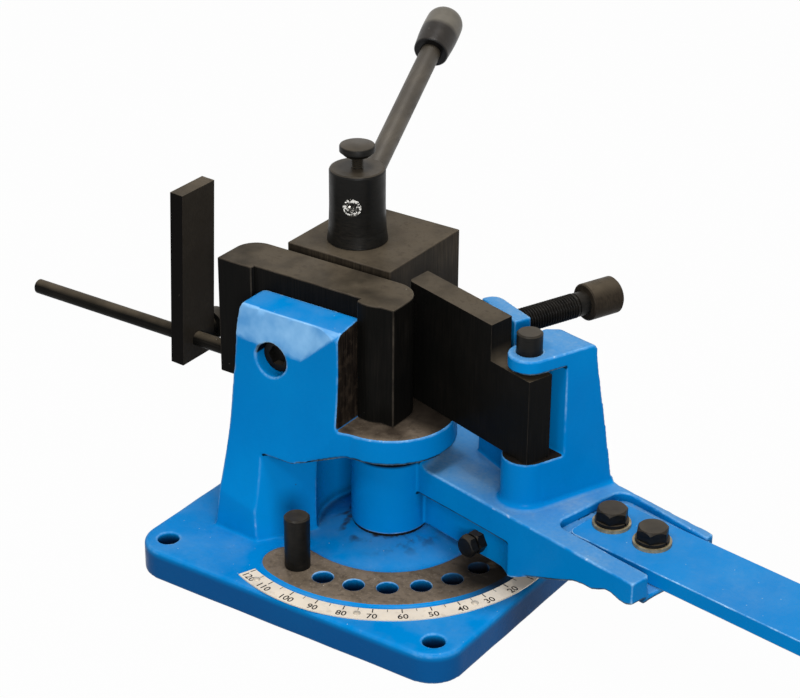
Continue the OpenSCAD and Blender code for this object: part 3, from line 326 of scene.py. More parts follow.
def moulded_phenolic():
    """Moulded phenolic knob: brown-black with a soft gloss, worn grey by the palm beyond its middle, with fine handling
    scratches. The distance along the knob is the dot product with its axis."""
    finish, tree, shader, place = new_finish("phenolic_moulded_black", Specular_IOR_Level=0.2)
    offset = add(tree, "VectorMath", {"operation": "SUBTRACT", 1: tuple(KNOB_START * MM)}, {0: place}).outputs[0]
    along = add(tree, "VectorMath", {"operation": "DOT_PRODUCT", 1: tuple(HANDLE_WAY)}, {0: offset}).outputs["Value"]
    palm = add(tree, "MapRange", {"From Min": 17 * MM, "From Max": 21 * MM}, {"Value": along}).outputs[0]
    inside = add(tree, "MapRange", {"From Min": 1.0 * MM, "From Max": 0.4 * MM}, {"Value": along}).outputs[0]
    colour = layers(
        tree, "#231F1B",
        ("#37322D", cloud(tree, place, 6.0, 0.45, 0.75, (0.0, 0.4))),
        ("#635E55", palm, cloud(tree, place, 12.0, 0.2, 0.6, (0.6, 1.0))),
        ("#060505", inside),
        ("#8D857A", specks(tree, place, 7.0, 0.3, 0.15)),
    )
    tree.links.new(colour, shader.inputs["Base Color"])
    tree.links.new(cloud(tree, place, 6.0, 0.45, 0.75, (0.34, 0.48)), shader.inputs["Roughness"])
    bumped(tree, shader, (cloud(tree, place, 1.5, 0.0, 1.0), 0.015))
    return finish


def printed_strip():
    """Printed aluminium strip under yellowed lacquer: cream, satin, with stains and scuffs."""
    finish, tree, shader, place = new_finish("aluminium_strip_lacquered", Specular_IOR_Level=0.4)
    colour = layers(
        tree, "#DCCFBC",
        ("#CFC3B2", cloud(tree, place, 14.0, 0.4, 0.75)),
        ("#A89B8A", cloud(tree, place, 4.0, 0.55, 0.8, (0.0, 0.5))),
        ("#6B5F53", specks(tree, place, 6.0, 0.3, 0.15)),
    )
    tree.links.new(colour, shader.inputs["Base Color"])
    tree.links.new(cloud(tree, place, 8.0, 0.3, 0.7, (0.4, 0.6)), shader.inputs["Roughness"])
    bumped(tree, shader, (cloud(tree, place, 2.0, 0.0, 1.0), 0.02))
    return finish


def printing_ink():
    """Black screen print, worn thin in places."""
    finish, tree, shader, place = new_finish("screen_print_black", Specular_IOR_Level=0.3, Roughness=0.6)
    colour = layers(tree, "#1C1814", ("#6E6358", cloud(tree, place, 2.0, 0.55, 0.75, (0.0, 0.6))))
    tree.links.new(colour, shader.inputs["Base Color"])
    return finish


def worn_set_screw():
    """Blackened set screw whose edges are chewed bright by a key: dark, with glints about a millimetre across in a ring
    round its socket. The distance from the screw's axis is the length of the cross product with its direction."""
    finish, tree, shader, place = new_finish("set_screw_worn", Metallic=0.7)
    chewed = {"size": 1.5, "low": 0.46, "high": 0.56, "detail": 1.0}
    middle = np.mean(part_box("hub_set_screw"), axis=0)
    way = np.append(middle[:2] / MM - SHAFT, 0.0)
    offset = add(tree, "VectorMath", {"operation": "SUBTRACT", 1: tuple(middle)}, {0: place}).outputs[0]
    across = add(tree, "VectorMath", {"operation": "CROSS_PRODUCT", 1: tuple(way / np.linalg.norm(way))}, {0: offset})
    away = add(tree, "VectorMath", {"operation": "LENGTH"}, {0: across.outputs[0]}).outputs["Value"]
    ring = add(tree, "MapRange", {"From Min": 2.4 * MM, "From Max": 3.0 * MM}, {"Value": away}).outputs[0]
    colour = layers(tree, "#14120F", ("#E2E0DA", cloud(tree, place, **chewed), ring))
    tree.links.new(colour, shader.inputs["Base Color"])
    tree.links.new(cloud(tree, place, to=(0.5, 0.25), **chewed), shader.inputs["Roughness"])
    bumped(tree, shader, (cloud(tree, place, **chewed), 0.1))
    return finish


def plated_steel(name, under, over, rough, metallic, relief):
    """Plated or bright turned steel: a metal with cloudy colour and small dents that glitter."""
    finish, tree, shader, place = new_finish(name, Metallic=metallic)
    colour = layers(tree, under, (over, cloud(tree, place, 5.0, 0.35, 0.7)),
                    ("#4A4036", specks(tree, place, 4.0, 0.3, 0.2)))
    tree.links.new(colour, shader.inputs["Base Color"])
    tree.links.new(cloud(tree, place, 2.0, 0.3, 0.7, (rough, rough + 0.2)), shader.inputs["Roughness"])
    bumped(tree, shader, (cloud(tree, place, 1.4, 0.2, 0.8), relief))
    return finish


ENAMEL_BASE = machine_enamel("machine_enamel_cast_base", (0.0, 0.2), 34.0, 0.9,
                             bare_tops=((23.0, 59.3), (107.0, 0.0)), bare_side=(-14.0, 107.0))
ENAMEL_ARM = machine_enamel("machine_enamel_cast_arm", (0.25, 0.6), 0.0, 0.45, ((107.0, 0.0),), hub_shadow_z=76.3)
ENAMEL_BAR = machine_enamel("machine_enamel_flat_bar", (0.06, 0.2), 0.0, 0.4)
OXIDE_GROUND = black_oxide("black_oxide_ground", (1.0, 1.0, 0.04), marks="#1E1B18")
OXIDE_LENGTH = black_oxide("black_oxide_drawn", (0.05, 1.0, 1.0))
OXIDE_TURNED = black_oxide("black_oxide_turned", (0.2, 0.2, 1.0), gloss=0.12, film_sheen=0.5)
OXIDE_THREAD = black_oxide("black_oxide_oiled_thread", (0.2, 0.2, 1.0), gloss=0.1, film_sheen=0.1)
OXIDE_MILLED = black_oxide("black_oxide_milled", (1.0, 1.0, 0.03), "#221E19", "#5A4F40")
OXIDE_SCALE = black_oxide("black_oxide_mill_scale", (1.0, 1.0, 0.3), "#27231E", "#3C372F", front=0.95)
OXIDE_KNOB = black_oxide("black_oxide_handled", (0.3, 1.0, 0.3), "#26211B", "#453C31")
DRAWN_STEEL = drawn_steel()
PHENOLIC = moulded_phenolic()
STRIP = printed_strip()
INK = printing_ink()
ZINC = plated_steel("zinc_plated_yellowed", "#75694E", "#A3967A", 0.4, 0.5, 0.03)
BRIGHT = plated_steel("bright_turned_steel", "#B7B3AB", "#D9D6CE", 0.2, 1.0, 0.12)
SET_SCREW = worn_set_screw()
RIVET = plated_steel("aluminium_rivet_dull", "#A79C8C", "#C4B9A8", 0.5, 0.3, 0.02)
BRONZE = plated_steel("cast_bronze", "#8A6A3A", "#A5824C", 0.35, 0.9, 0.04)


# Shapes


def show(name, mesh, body, finish, replaces=()):
    """Puts a finished mesh into the scene, riding on a CAD body with a material."""
    piece = bpy.data.objects.new(name, mesh)
    bpy.context.scene.collection.objects.link(piece)
    mesh.materials.clear()
    mesh.materials.append(finish)
    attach(piece, body)
    if replaces:
        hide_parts(*replaces)
    return piece


def joined_copy(node):
    """A CAD node's triangles as one connected mesh: corners at the same place become one point."""
    joined = bmesh.new()
    joined.from_mesh(NODES[node].data)
    bmesh.ops.remove_doubles(joined, verts=joined.verts, dist=4e-6)
    return joined


def neighbour_mean(points, ends):
    """Mean place of each point's neighbours, given both ends of every edge."""
    count = len(points)
    first, second = np.concatenate([ends[:, 0], ends[:, 1]]), np.concatenate([ends[:, 1], ends[:, 0]])
    number = np.bincount(first, minlength=count)
    sums = [np.bincount(first, points[second, axis], count) for axis in range(3)]
    return np.stack(sums, 1) / number[:, None]


def off_axis(points, through, direction):
    """Distance in mm of each point from a line."""
    way = np.asarray(direction, float) / np.linalg.norm(direction)
    arm = points / MM - np.asarray(through, float)
    return np.linalg.norm(arm - np.outer(arm @ way, way), axis=1)


# Castings: size of the voxels, smoothing passes, what the curvature is multiplied by for the attribute edge, height,
# number and lengths of the walls' waves, and the triangles that are left
BASE_VOXEL, ARM_VOXEL, CAST_PASSES, EDGE_GAIN = 0.9, 0.7, 7, 9.0
CAST_WAVE, CAST_WAVES, CAST_WAVE_LENGTHS, CAST_TRIANGLES = 0.35, 9, (24, 70), 175000

# The column's brow: the upright face and the sides that it lies between, the ridge's height and depth, a point of the
# low edge and its fall, a point of the slanting edge with the direction across it and the flat's rise there, the
# distance over which the flat's attribute fades in, and the die screw's hole with a margin
COLUMN_FACE, COLUMN_SIDES, FACE_REACH = -48.2, (-92, -4), 5
RIDGE_Z, BROW_DEPTH, BROW_FADE = 171.6, 3.5, 0.3
LOW_EDGE, LOW_EDGE_FALL = (-84.9, 149.0), 0.0763
SLANT, SLANT_ACROSS, SLANT_RISE = (-35.1, 145.2), (-0.661, 0.751), 0.3
SCREW_HOLE, SCREW_HOLE_R = (-58, 140), 11.4

# The arm's last form, u along it and v across it: the fin behind the post, the pocket's floor and its groove, and how
# far the lever bar's end and back are from its place
FIN_U, FIN_V, FIN_HEIGHT = (105, 135), 77.4, 6
POCKET_U, POCKET_V, POCKET_DEPTH, GROOVE = 131, (15.5, 79), 10.8, 2.2
LEVER_END, LEVER_BACK = -13.6, 24.6


def column_brow(points):
    """The column's brow, a flat that leans back from a low edge on the upright face to the ridge. Its depth at a place
    of the face is the lesser of two planes: one rises from the low edge to the ridge's depth, the other from the edge
    that slants up to the right corner. Gives the points, in mm, and how far each one lies on the flat."""
    x, y, z = points.T
    low = LOW_EDGE[1] - LOW_EDGE_FALL * (x - LOW_EDGE[0])
    rise = BROW_DEPTH * (z - low) / (RIDGE_Z - low)
    aside = SLANT_RISE * (SLANT_ACROSS[1] * (z - SLANT[1]) + SLANT_ACROSS[0] * (x - SLANT[0]))
    depth = np.clip(np.minimum(rise, aside), 0, BROW_DEPTH)
    near = (np.abs(y - COLUMN_FACE) < FACE_REACH) & (x > COLUMN_SIDES[0]) & (x < COLUMN_SIDES[1]) & (depth > 0)
    near &= np.hypot(x - SCREW_HOLE[0], z - SCREW_HOLE[1]) > SCREW_HOLE_R
    placed = points.copy()
    placed[:, 1] = np.where(near, np.maximum(y, depth + COLUMN_FACE), y)
    return placed, near * (z < RIDGE_Z) * np.clip(depth / BROW_FADE, 0, 1)


def arm_form(points):
    """The arm's last form. A low fin on the deck, behind the post's back, comes down to it. The pocket's floor at the
    end and the back of the lever bar, a rectangle turned by the skew, rises to a groove beside it."""
    u, v = ((points[:, :2] - PIVOT) @ turned_to(ARM_TURN)).T
    z = points[:, 2].copy()
    fin = (u > FIN_U[0]) & (u < FIN_U[1]) & (v > FIN_V) & (z > DECK_Z) & (z < DECK_Z + FIN_HEIGHT)
    z[fin] = DECK_Z
    along, across = ((np.column_stack([u, v]) - LEVER_PLACE) @ turned_to(LEVER_SKEW)).T
    beside = (along < LEVER_END) | (across > LEVER_BACK)
    sunk = (u > POCKET_U) & (v > POCKET_V[0]) & (v < POCKET_V[1])
    sunk &= (z > LEVER_TOP - POCKET_DEPTH) & (z < LEVER_TOP - GROOVE)
    z[beside & sunk] = LEVER_TOP - GROOVE
    return np.column_stack([points[:, :2], z]), np.zeros(len(points))


def cast_skin(node, voxel, passes, bores, shape, turn=0.0):
    """Sand-cast form of a CAD node. The solid is cut into voxels and skinned again, then every point moves half-way
    to the mean of its neighbours, pass by pass, which rounds the edges and fills the corners as moulding sand does.
    Points at a machined bore, given as line and radius, keep their place. The voxels lie along directions turned
    about the pivot, so that the walls of a turned casting stay true. The function shape then gives the points their
    last form, and the attribute brow. The attribute edge is the mean curvature: above 0 on rounded edges, below 0 in
    filled corners. A sum of long sine waves along the normal gives the unevenness of a cast wall, and at the end flat
    stretches are thinned until CAST_TRIANGLES are left."""
    solid = bpy.data.meshes.new(node + "_solid")
    joined = joined_copy(node)
    joined.to_mesh(solid)
    joined.free()
    about = Matrix.Translation((PIVOT[0] * MM, PIVOT[1] * MM, 0))
    turned = about @ Matrix.Rotation(math.radians(turn), 4, "Z") @ about.inverted()
    solid.transform(turned.inverted())
    source = bpy.data.objects.new(node + "_solid", solid)
    bpy.context.scene.collection.objects.link(source)
    grid = source.modifiers.new("voxels", "REMESH")
    grid.mode, grid.voxel_size, grid.adaptivity = "VOXEL", voxel * MM, 0
    skin = bpy.data.meshes.new_from_object(source.evaluated_get(bpy.context.evaluated_depsgraph_get()))
    bpy.data.objects.remove(source)
    skin.transform(turned)
    points = np.empty(len(skin.vertices) * 3, np.float32)
    skin.vertices.foreach_get("co", points)
    points = points.reshape(-1, 3).astype(float)
    ends = np.empty(len(skin.edges) * 2, np.int32)
    skin.edges.foreach_get("vertices", ends)
    ends = ends.reshape(-1, 2)
    free = np.ones(len(points))
    for through, direction, radius in bores:
        free *= np.clip((off_axis(points, through, direction) - radius - voxel) / (2 * voxel), 0, 1)
    for _ in range(passes):
        points += 0.5 * free[:, None] * (neighbour_mean(points, ends) - points)
    points, on_brow = shape(points / MM)
    points *= MM
    skin.vertices.foreach_set("co", points.astype(np.float32).ravel())
    skin.update()
    normals = np.empty(len(points) * 3, np.float32)
    skin.vertex_normals.foreach_get("vector", normals)
    normals = normals.reshape(-1, 3)
    sink = neighbour_mean(points, ends) - points
    curve = -np.einsum("ij,ij->i", sink, normals) / (voxel * MM)
    draw = np.random.default_rng(5)
    ways = draw.normal(size=(CAST_WAVES, 3))
    lengths = draw.uniform(*CAST_WAVE_LENGTHS, CAST_WAVES) * MM
    ways *= (2 * math.pi / lengths / np.linalg.norm(ways, axis=1))[:, None]
    wave = np.sin(points @ ways.T + draw.uniform(0, 2 * math.pi, CAST_WAVES)).mean(1)
    points += normals * (CAST_WAVE * MM * free * wave)[:, None]
    skin.vertices.foreach_set("co", points.astype(np.float32).ravel())
    skin.update()
    for _ in range(2):
        curve = 0.5 * curve + 0.5 * neighbour_mean(np.repeat(curve[:, None], 3, 1), ends)[:, 0]
    edge = skin.attributes.new("edge", "FLOAT", "POINT")
    edge.data.foreach_set("value", np.clip(curve * EDGE_GAIN, -1, 1).astype(np.float32))
    skin.attributes.new("brow", "FLOAT", "POINT").data.foreach_set("value", on_brow.astype(np.float32))
    source = bpy.data.objects.new(node + "_full", skin)
    bpy.context.scene.collection.objects.link(source)
    source.modifiers.new("thinned", "DECIMATE").ratio = min(1.0, CAST_TRIANGLES / (2 * len(skin.polygons)))
    thin = bpy.data.meshes.new_from_object(source.evaluated_get(bpy.context.evaluated_depsgraph_get()))
    bpy.data.objects.remove(source)
    thin.polygons.foreach_set("use_smooth", np.ones(len(thin.polygons), bool))
    return thin


def eased(node, width):
    """A CAD node with its sharp edges broken: flat triangles are joined to faces, and each edge whose faces meet at
    more than 35 degrees gets a round of the given width. The attribute edge is 1 on those rounds."""
    joined = joined_copy(node)
    bmesh.ops.dissolve_limit(joined, angle_limit=math.radians(0.4), verts=joined.verts, edges=joined.edges)
    for face in joined.faces:
        face.material_index = 0
    sharp = [e for e in joined.edges if len(e.link_faces) == 2 and e.is_convex
             and e.calc_face_angle() > math.radians(35)]
    bmesh.ops.bevel(joined, geom=sharp, offset=width * MM, segments=3, profile=0.5, affect="EDGES",
                    clamp_overlap=True, material=1)
    mesh = bpy.data.meshes.new(node + "_eased")
    joined.to_mesh(mesh)
    joined.free()
    index = np.empty(len(mesh.polygons), np.int32)
    mesh.polygons.foreach_get("material_index", index)
    edge = mesh.attributes.new("edge", "FLOAT", "FACE")
    edge.data.foreach_set("value", (index == 1).astype(np.float32))
    mesh.polygons.foreach_set("material_index", np.zeros(len(index), np.int32))
    mesh.polygons.foreach_set("use_smooth", np.ones(len(index), bool))
    return mesh


def grid_mesh(name, points):
    """Mesh of a grid of points [along, around, 3] that closes on itself around, with both end rings capped."""
    along, around = points.shape[:2]
    row, column = np.meshgrid(np.arange(along - 1), np.arange(around), indexing="ij")
    after = (column + 1) % around
    quads = np.stack([row * around + column, row * around + after,
                      (row + 1) * around + after, (row + 1) * around + column], -1).reshape(-1, 4)
    caps = [list(range(around))[::-1], list(range((along - 1) * around, along * around))]
    mesh = bpy.data.meshes.new(name)
    mesh.from_pydata((points.reshape(-1, 3) * MM).tolist(), [], quads.tolist() + caps)
    mesh.polygons.foreach_set("use_smooth", np.ones(len(mesh.polygons), bool))
    mesh.update()
    return mesh


def cross_axes(axis):
    """An axis at length 1 and two directions square to it and to each other."""
    axis = np.asarray(axis, float) / np.linalg.norm(axis)
    side = np.cross(axis, [0.0, 0.0, 1.0] if abs(axis[2]) < 0.9 else [1.0, 0.0, 0.0])
    side /= np.linalg.norm(side)
    return axis, side, np.cross(axis, side)


# The knob's side: its length, its radius, the belly added to it and half the belly's wave. Its round end: length and
# drop. Its bore: radius and depth. Its base: the chamfer's end at the bore, and the radius of the flat.
KNOB_SIDE, KNOB_R, KNOB_BELLY, KNOB_WAVE = 31, 11.9, 1.2, 44
KNOB_END, KNOB_DROP = 8.8, 8.0
KNOB_BORE, KNOB_BORE_DEPTH = 7.05, 26.0
KNOB_CHAMFER, KNOB_FLAT = 7.5, 11.3


def barrel_knob(around=96):
    """Knob turned about the handle's axis. Its profile comes out of the bore over a flat base; the side's radius is
    KNOB_R plus KNOB_BELLY times a sine of the distance along; and a quarter ellipse rounds it to a small flat end."""
    axis, side, other = cross_axes(HANDLE_WAY)
    t = np.linspace(0.8, KNOB_SIDE, 30)
    r = KNOB_R + KNOB_BELLY * np.sin(math.pi * t / KNOB_WAVE)
    bend = np.linspace(0, math.pi / 2, 14)[1:]
    t = np.concatenate([[KNOB_BORE_DEPTH, 0.5, 0.0, 0.0], t, KNOB_SIDE + KNOB_END * np.sin(bend)])
    r = np.concatenate([[KNOB_BORE, KNOB_BORE, KNOB_CHAMFER, KNOB_FLAT], r, r[-1] - KNOB_DROP * (1 - np.cos(bend))])
    turn = np.linspace(0, 2 * math.pi, around, endpoint=False)
    rings = np.cos(turn)[:, None] * side + np.sin(turn)[:, None] * other
    mesh = grid_mesh("clamp_knob_turned", KNOB_START + t[:, None, None] * axis + r[:, None, None] * rings)
    mesh.set_sharp_from_angle(angle=math.radians(40))
    return mesh


def round_bar(name, start, axis, stations, radii, pitch=0.0, depth=0.0, threaded=(0.0, 0.0), around=72):
    """Turned bar along an axis. Its radius at station t is read off the profile, and inside the threaded stretch it
    drops by depth times a V wave of t / pitch less the turn round the axis, which is a helix of that pitch."""
    axis, side, other = cross_axes(axis)
    turn = np.linspace(0, 2 * math.pi, around, endpoint=False)
    low, high = threaded
    fine = np.arange(low, high, pitch / 12) if pitch else np.array([])
    t = np.unique(np.concatenate([np.asarray(stations, float), fine]).round(5))
    keep = np.concatenate([[True], np.diff(t) > 1e-4])
    t = t[keep]
    radius = np.interp(t, stations, radii)[:, None] * np.ones(around)
    if pitch:
        wave = (t[:, None] / pitch - turn[None, :] / (2 * math.pi)) % 1.0
        groove = np.clip(1.25 - np.abs(wave - 0.5) * 2.9, 0, 1)
        fade = np.clip(np.minimum(t - low, high - t) / (0.6 * pitch), 0, 1)[:, None]
        radius = radius - depth * groove * fade
    points = (np.asarray(start, float) + t[:, None, None] * axis
              + radius[..., None] * (np.cos(turn)[None, :, None] * side + np.sin(turn)[None, :, None] * other))
    mesh = grid_mesh(name, points)
    mesh.set_sharp_from_angle(angle=math.radians(40))
    return mesh


# Castings

index_bores = []
for i in range(INDEX_COUNT):
    hole = PIVOT + INDEX_R * turned_to(INDEX_FIRST + i * INDEX_STEP)[:, 0]
    index_bores.append(((hole[0], hole[1], 0), UPRIGHT, INDEX_BORE))
pin = from_arm(PLATE_PIN)
screw_start = np.append(from_arm(SCREW_PLACE), SCREW_Z)
screw_way = np.append(turned_to(ARM_TURN + SCREW_TURN) @ [0.0, 1.0], 0.0)
bolt = from_arm(STOP_BOLT)
bolt_way = np.append(turned_to(ARM_TURN) @ [0.0, 1.0], 0.0)

base_skin = cast_skin("base_casting", BASE_VOXEL, CAST_PASSES,
                      index_bores + [(np.append(PIVOT, 0), UPRIGHT, PIVOT_BORE)], column_brow)
show("base_cast_skin", base_skin, "base", ENAMEL_BASE, ("base_casting",))
arm_skin = cast_skin("bending_arm", ARM_VOXEL, CAST_PASSES, [
    (np.append(PIVOT, 0), UPRIGHT, BUSH_BORE), (np.append(pin, 0), UPRIGHT, PIN_BORE),
    (screw_start, screw_way, SCREW_BORE), (np.append(bolt, STOP_BOLT_Z), bolt_way, BOLT_BORE)], arm_form, ARM_TURN)
show("arm_cast_skin", arm_skin, "arm", ENAMEL_ARM, ("bending_arm",))

# Steel with broken edges

for node, body, width, finish, slot in (
        ("bending_die", "base", 1.0, OXIDE_GROUND, "black_oxide"),
        ("clamp_block", "clamp_jaw", 0.8, OXIDE_MILLED, "black_oxide"),
        ("bending_plate", "plate", 0.8, OXIDE_GROUND, "black_oxide"),
        ("stop_plate", "length_stop", 0.6, OXIDE_SCALE, "black_oxide"),
        ("lever_bar", "arm", 1.2, ENAMEL_BAR, "blue_lever")):
    piece = show(node + "_eased", eased(node, width), body, finish, (node,))
    piece.modifiers.new("flat_faces", "WEIGHTED_NORMAL").keep_sharp = True

# Screws with cut threads

adjuster = round_bar(
    "adjusting_screw_cut", screw_start, screw_way,
    (SCREW_TIP, SCREW_TIP + 2.5, SCREW_THREAD_END - 1.5, SCREW_THREAD_END, SCREW_THREAD_END + 0.01, SCREW_NECK),
    (5.5, 8.0, 8.0, 7.2, 7.7, 7.7), 2.0, 1.15, (SCREW_TIP + 2.6, SCREW_THREAD_END - 1.6))
show("adjusting_screw_cut", adjuster, "adjuster", OXIDE_THREAD, ("adjusting_screw",))
thumb = round_bar(
    "thumb_screw_cut", (SHAFT[0], SHAFT[1], HUB_TOP), UPRIGHT,
    (-11.5, -11.0, 8.5, 8.51, 11.0, 11.3, 14.6, 15.3, 15.5),
    (3.4, 4.0, 4.0, 8.5, 11.0, 11.5, 11.5, 11.1, 10.6), 1.25, 0.75, (-10.5, 8.2))
show("clamp_knob_turned", barrel_knob(), "clamp_lever", PHENOLIC, ("clamp_knob",))
show("thumb_screw_cut", thumb, "thumb_screw", OXIDE_TURNED, ("hub_thumb_screw",))

# Angle scale: ticks from the inner edge every 5 degrees, numbers every 10

VALUES = np.arange(0, 121, 5)
LAST_NUMBER, NUMBER_SIZE, NUMBER_PLACE = 117.8, 7.0, 8.4
LONG_TICK, SHORT_TICK, BROAD_TICK, FINE_TICK = 4.0, 2.8, 0.36, 0.2


def scale_ticks():
    """Each tick is a thin box along the radius: long and broad every 10 degrees, short and fine between."""
    long_tick = (VALUES % 10 == 0)
    reach = np.where(long_tick, LONG_TICK, SHORT_TICK)
    half = np.where(long_tick, BROAD_TICK, FINE_TICK)
    turn = np.radians(SCALE_ZERO - VALUES)
    out = np.stack([np.cos(turn), np.sin(turn)], 1)
    aside = np.stack([-np.sin(turn), np.cos(turn)], 1)
    corners = []
    for level in (SCALE_TOP - 0.1, SCALE_TOP + 0.05):
        for far in (0, 1):
            for sign in ((-1, 1) if far == 0 else (1, -1)):
                flat = PIVOT + out * (SCALE_R + 0.25 + far * reach)[:, None] + aside * (sign * half)[:, None]
                corners.append(np.column_stack([flat, np.full(len(VALUES), level)]))
    points = np.stack(corners, 1).reshape(-1, 3) * MM
    faces = np.array([[3, 2, 1, 0], [4, 5, 6, 7], [0, 1, 5, 4], [1, 2, 6, 5], [2, 3, 7, 6], [3, 0, 4, 7]])
    faces = (faces[None] + 8 * np.arange(len(VALUES))[:, None, None]).reshape(-1, 4)
    mesh = bpy.data.meshes.new("scale_ticks")
    mesh.from_pydata(points.tolist(), [], faces.tolist())
    mesh.update()
    fix = bmesh.new()
    fix.from_mesh(mesh)
    bmesh.ops.recalc_face_normals(fix, faces=fix.faces)
    fix.to_mesh(mesh)
    fix.free()
    return mesh


def scale_numbers():
    """Each number is a thin slab of text whose top points to the pivot, in the outer half of the strip. The last one
    moves in by a few degrees, to stay on the strip."""
    all_points, all_faces, start = [], [], 0
    for value in VALUES[VALUES % 10 == 0]:
        text = bpy.data.curves.new("number", "FONT")
        text.body, text.size, text.extrude, text.offset = str(value), NUMBER_SIZE, 0.06, 0.09
        text.align_x, text.align_y = "CENTER", "CENTER"
        text.resolution_u = 3
        writer = bpy.data.objects.new("number", text)
        bpy.context.scene.collection.objects.link(writer)
        flat = bpy.data.meshes.new_from_object(writer.evaluated_get(bpy.context.evaluated_depsgraph_get()))
        bpy.data.objects.remove(writer)
        local = np.empty(len(flat.vertices) * 3, np.float32)
        flat.vertices.foreach_get("co", local)
        local = local.reshape(-1, 3).astype(float)
        turn = math.radians(SCALE_ZERO - min(value, LAST_NUMBER))
        out, aside = np.array([math.cos(turn), math.sin(turn)]), np.array([-math.sin(turn), math.cos(turn)])
        placed = PIVOT + out * (SCALE_R + NUMBER_PLACE) + local[:, :1] * aside - local[:, 1:2] * out
        all_points.append(np.column_stack([placed, SCALE_TOP + local[:, 2]]) * MM)
        corners, firsts = np.empty(len(flat.loops), np.int32), np.empty(len(flat.polygons), np.int32)
        flat.loops.foreach_get("vertex_index", corners)
        flat.polygons.foreach_get("loop_start", firsts)
        all_faces += [face.tolist() for face in np.split(corners + start, firsts[1:])]
        start += len(local)
    mesh = bpy.data.meshes.new("scale_numbers")
    mesh.from_pydata(np.concatenate(all_points).tolist(), [], all_faces)
    mesh.update()
    return mesh


show("scale_ticks", scale_ticks(), "base", INK)
show("scale_numbers", scale_numbers(), "base", INK)

# Finishes of the CAD nodes that stay

for finish, names in (
        (OXIDE_TURNED, ("die_screw", "stop_lock_screw", "angle_stop_pin", "stop_bolt", "stop_lock_nut", "plate_pin",
                        "lever_bolts", "lever_spring_washers", "eccentric_shaft", "clamp_hub", "thrust_washer")),
        (OXIDE_KNOB, ("adjusting_knob",)),
        (OXIDE_LENGTH, ("stop_rod",)),
        (DRAWN_STEEL, ("clamp_handle",)),
        (STRIP, ("angle_scale",)),
        (ZINC, ("lever_flat_washers",)),
        (RIVET, ("scale_rivets",)),
        (SET_SCREW, ("hub_set_screw",)),
        (BRIGHT, ("pivot_pin",)),
        (BRONZE, ("arm_bush",))):
    for node in names:
        for slot in NODES[node].material_slots:
            slot.material = finish

# Floor, light and camera, in metres

FLOOR_HALF, FLOOR_DROP = 6, 0.0004


def seen_share(tree):
    """1 for rays that end in the picture, straight or by a reflection, and 0 for rays that only carry light."""
    path = add(tree, "LightPath").outputs
    seen = add(tree, "Math", {"operation": "MAXIMUM"}, {0: path["Is Camera Ray"], 1: path["Is Glossy Ray"]}).outputs[0]
    return add(tree, "Math", {"operation": "MAXIMUM"}, {0: seen, 1: path["Is Transmission Ray"]}).outputs[0]


floor_mesh = bpy.data.meshes.new("studio_floor")
floor_corners = [(x * FLOOR_HALF, y * FLOOR_HALF, 0) for x, y in ((-1, -1), (1, -1), (1, 1), (-1, 1))]
floor_mesh.from_pydata(floor_corners, [], [(0, 1, 2, 3)])
floor = bpy.data.objects.new("studio_floor", floor_mesh)
floor.location.z = -FLOOR_DROP
bpy.context.scene.collection.objects.link(floor)
paper = bpy.data.materials.new("studio_paper")
paper.use_nodes = True
tree = paper.node_tree
shader = tree.nodes["Principled BSDF"]
shader.inputs["Base Color"].default_value = linear("#8E8E8E")
shader.inputs["Roughness"].default_value = 0.9
shader.inputs["Specular IOR Level"].default_value = 0.0
share = add(tree, "MapRange", {"To Max": 0.98}, {"Value": seen_share(tree)}).outputs[0]
white = add(tree, "Emission", {"Color": (1, 1, 1, 1), "Strength": 1.0})
mixed = add(tree, "MixShader", {}, {0: share, 1: shader.outputs[0], 2: white.outputs[0]})
tree.links.new(mixed.outputs[0], tree.nodes["Material Output"].inputs["Surface"])
floor_mesh.materials.append(paper)

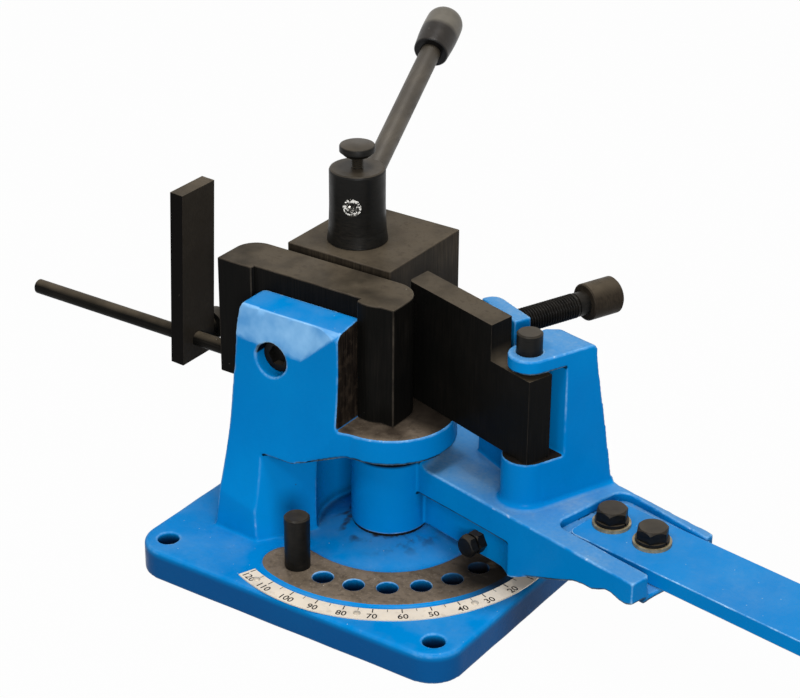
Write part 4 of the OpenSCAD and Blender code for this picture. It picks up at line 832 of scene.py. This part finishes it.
world = bpy.data.worlds.new("studio")
bpy.context.scene.world = world
world.use_nodes = True
tree = world.node_tree
back = tree.nodes["Background"]
back.inputs["Color"].default_value = (1, 1, 1, 1)
strength = add(tree, "MapRange", {"To Min": 0.32, "To Max": 1.0}, {"Value": seen_share(tree)})
tree.links.new(strength.outputs[0], back.inputs["Strength"])


def softbox(name, place, size, watts):
    """A square area light that faces the object's middle."""
    lamp = bpy.data.lights.new(name, "AREA")
    lamp.shape, lamp.size, lamp.energy = "SQUARE", size, watts
    stand = bpy.data.objects.new(name, lamp)
    stand.location = place
    aim = Vector((0, 0, 0.1)) - stand.location
    stand.rotation_euler = aim.to_track_quat("-Z", "Y").to_euler()
    bpy.context.scene.collection.objects.link(stand)


softbox("key_softbox", (1.25, -1.55, 0.7), 0.7, 25.0)
softbox("front_softbox", (0.0, -1.3, 1.9), 0.4, 9.0)
softbox("top_softbox", (0.2, 0.1, 2.4), 0.9, 36.0)

# Camera of the photograph, 800 by 698 pixels, fitted to points of the base, the index holes, the scale's ticks, the
# die and the clamp block
PHOTO_W, PHOTO_H, SENSOR = 800.0, 698.0, 36.0
FOCAL, CENTRE_X, CENTRE_Y = 2299.9006, 390.0163, 424.8446
RIGHT = (0.8248407, 0.5653486, 0.0043273)
UP = (-0.2770259, 0.3974835, 0.8747934)
BACK = (0.4928432, -0.7227640, 0.4844768)
EYE = (0.7257092, -1.0643138, 0.8035057)
camera_data = bpy.data.cameras.new("camera")
camera_data.sensor_fit, camera_data.sensor_width = "HORIZONTAL", SENSOR
camera_data.lens = FOCAL / PHOTO_W * SENSOR
camera_data.shift_x = (PHOTO_W / 2 - CENTRE_X) / PHOTO_W
camera_data.shift_y = (CENTRE_Y - PHOTO_H / 2) / PHOTO_W
camera_data.clip_start, camera_data.clip_end = 0.05, 30.0
camera = bpy.data.objects.new("camera", camera_data)
camera.matrix_world = Matrix([[RIGHT[i], UP[i], BACK[i], EYE[i]] for i in range(3)] + [[0, 0, 0, 1]])
bpy.context.scene.collection.objects.link(camera)
bpy.context.scene.camera = camera
bpy.context.scene.view_settings.view_transform = "Standard"
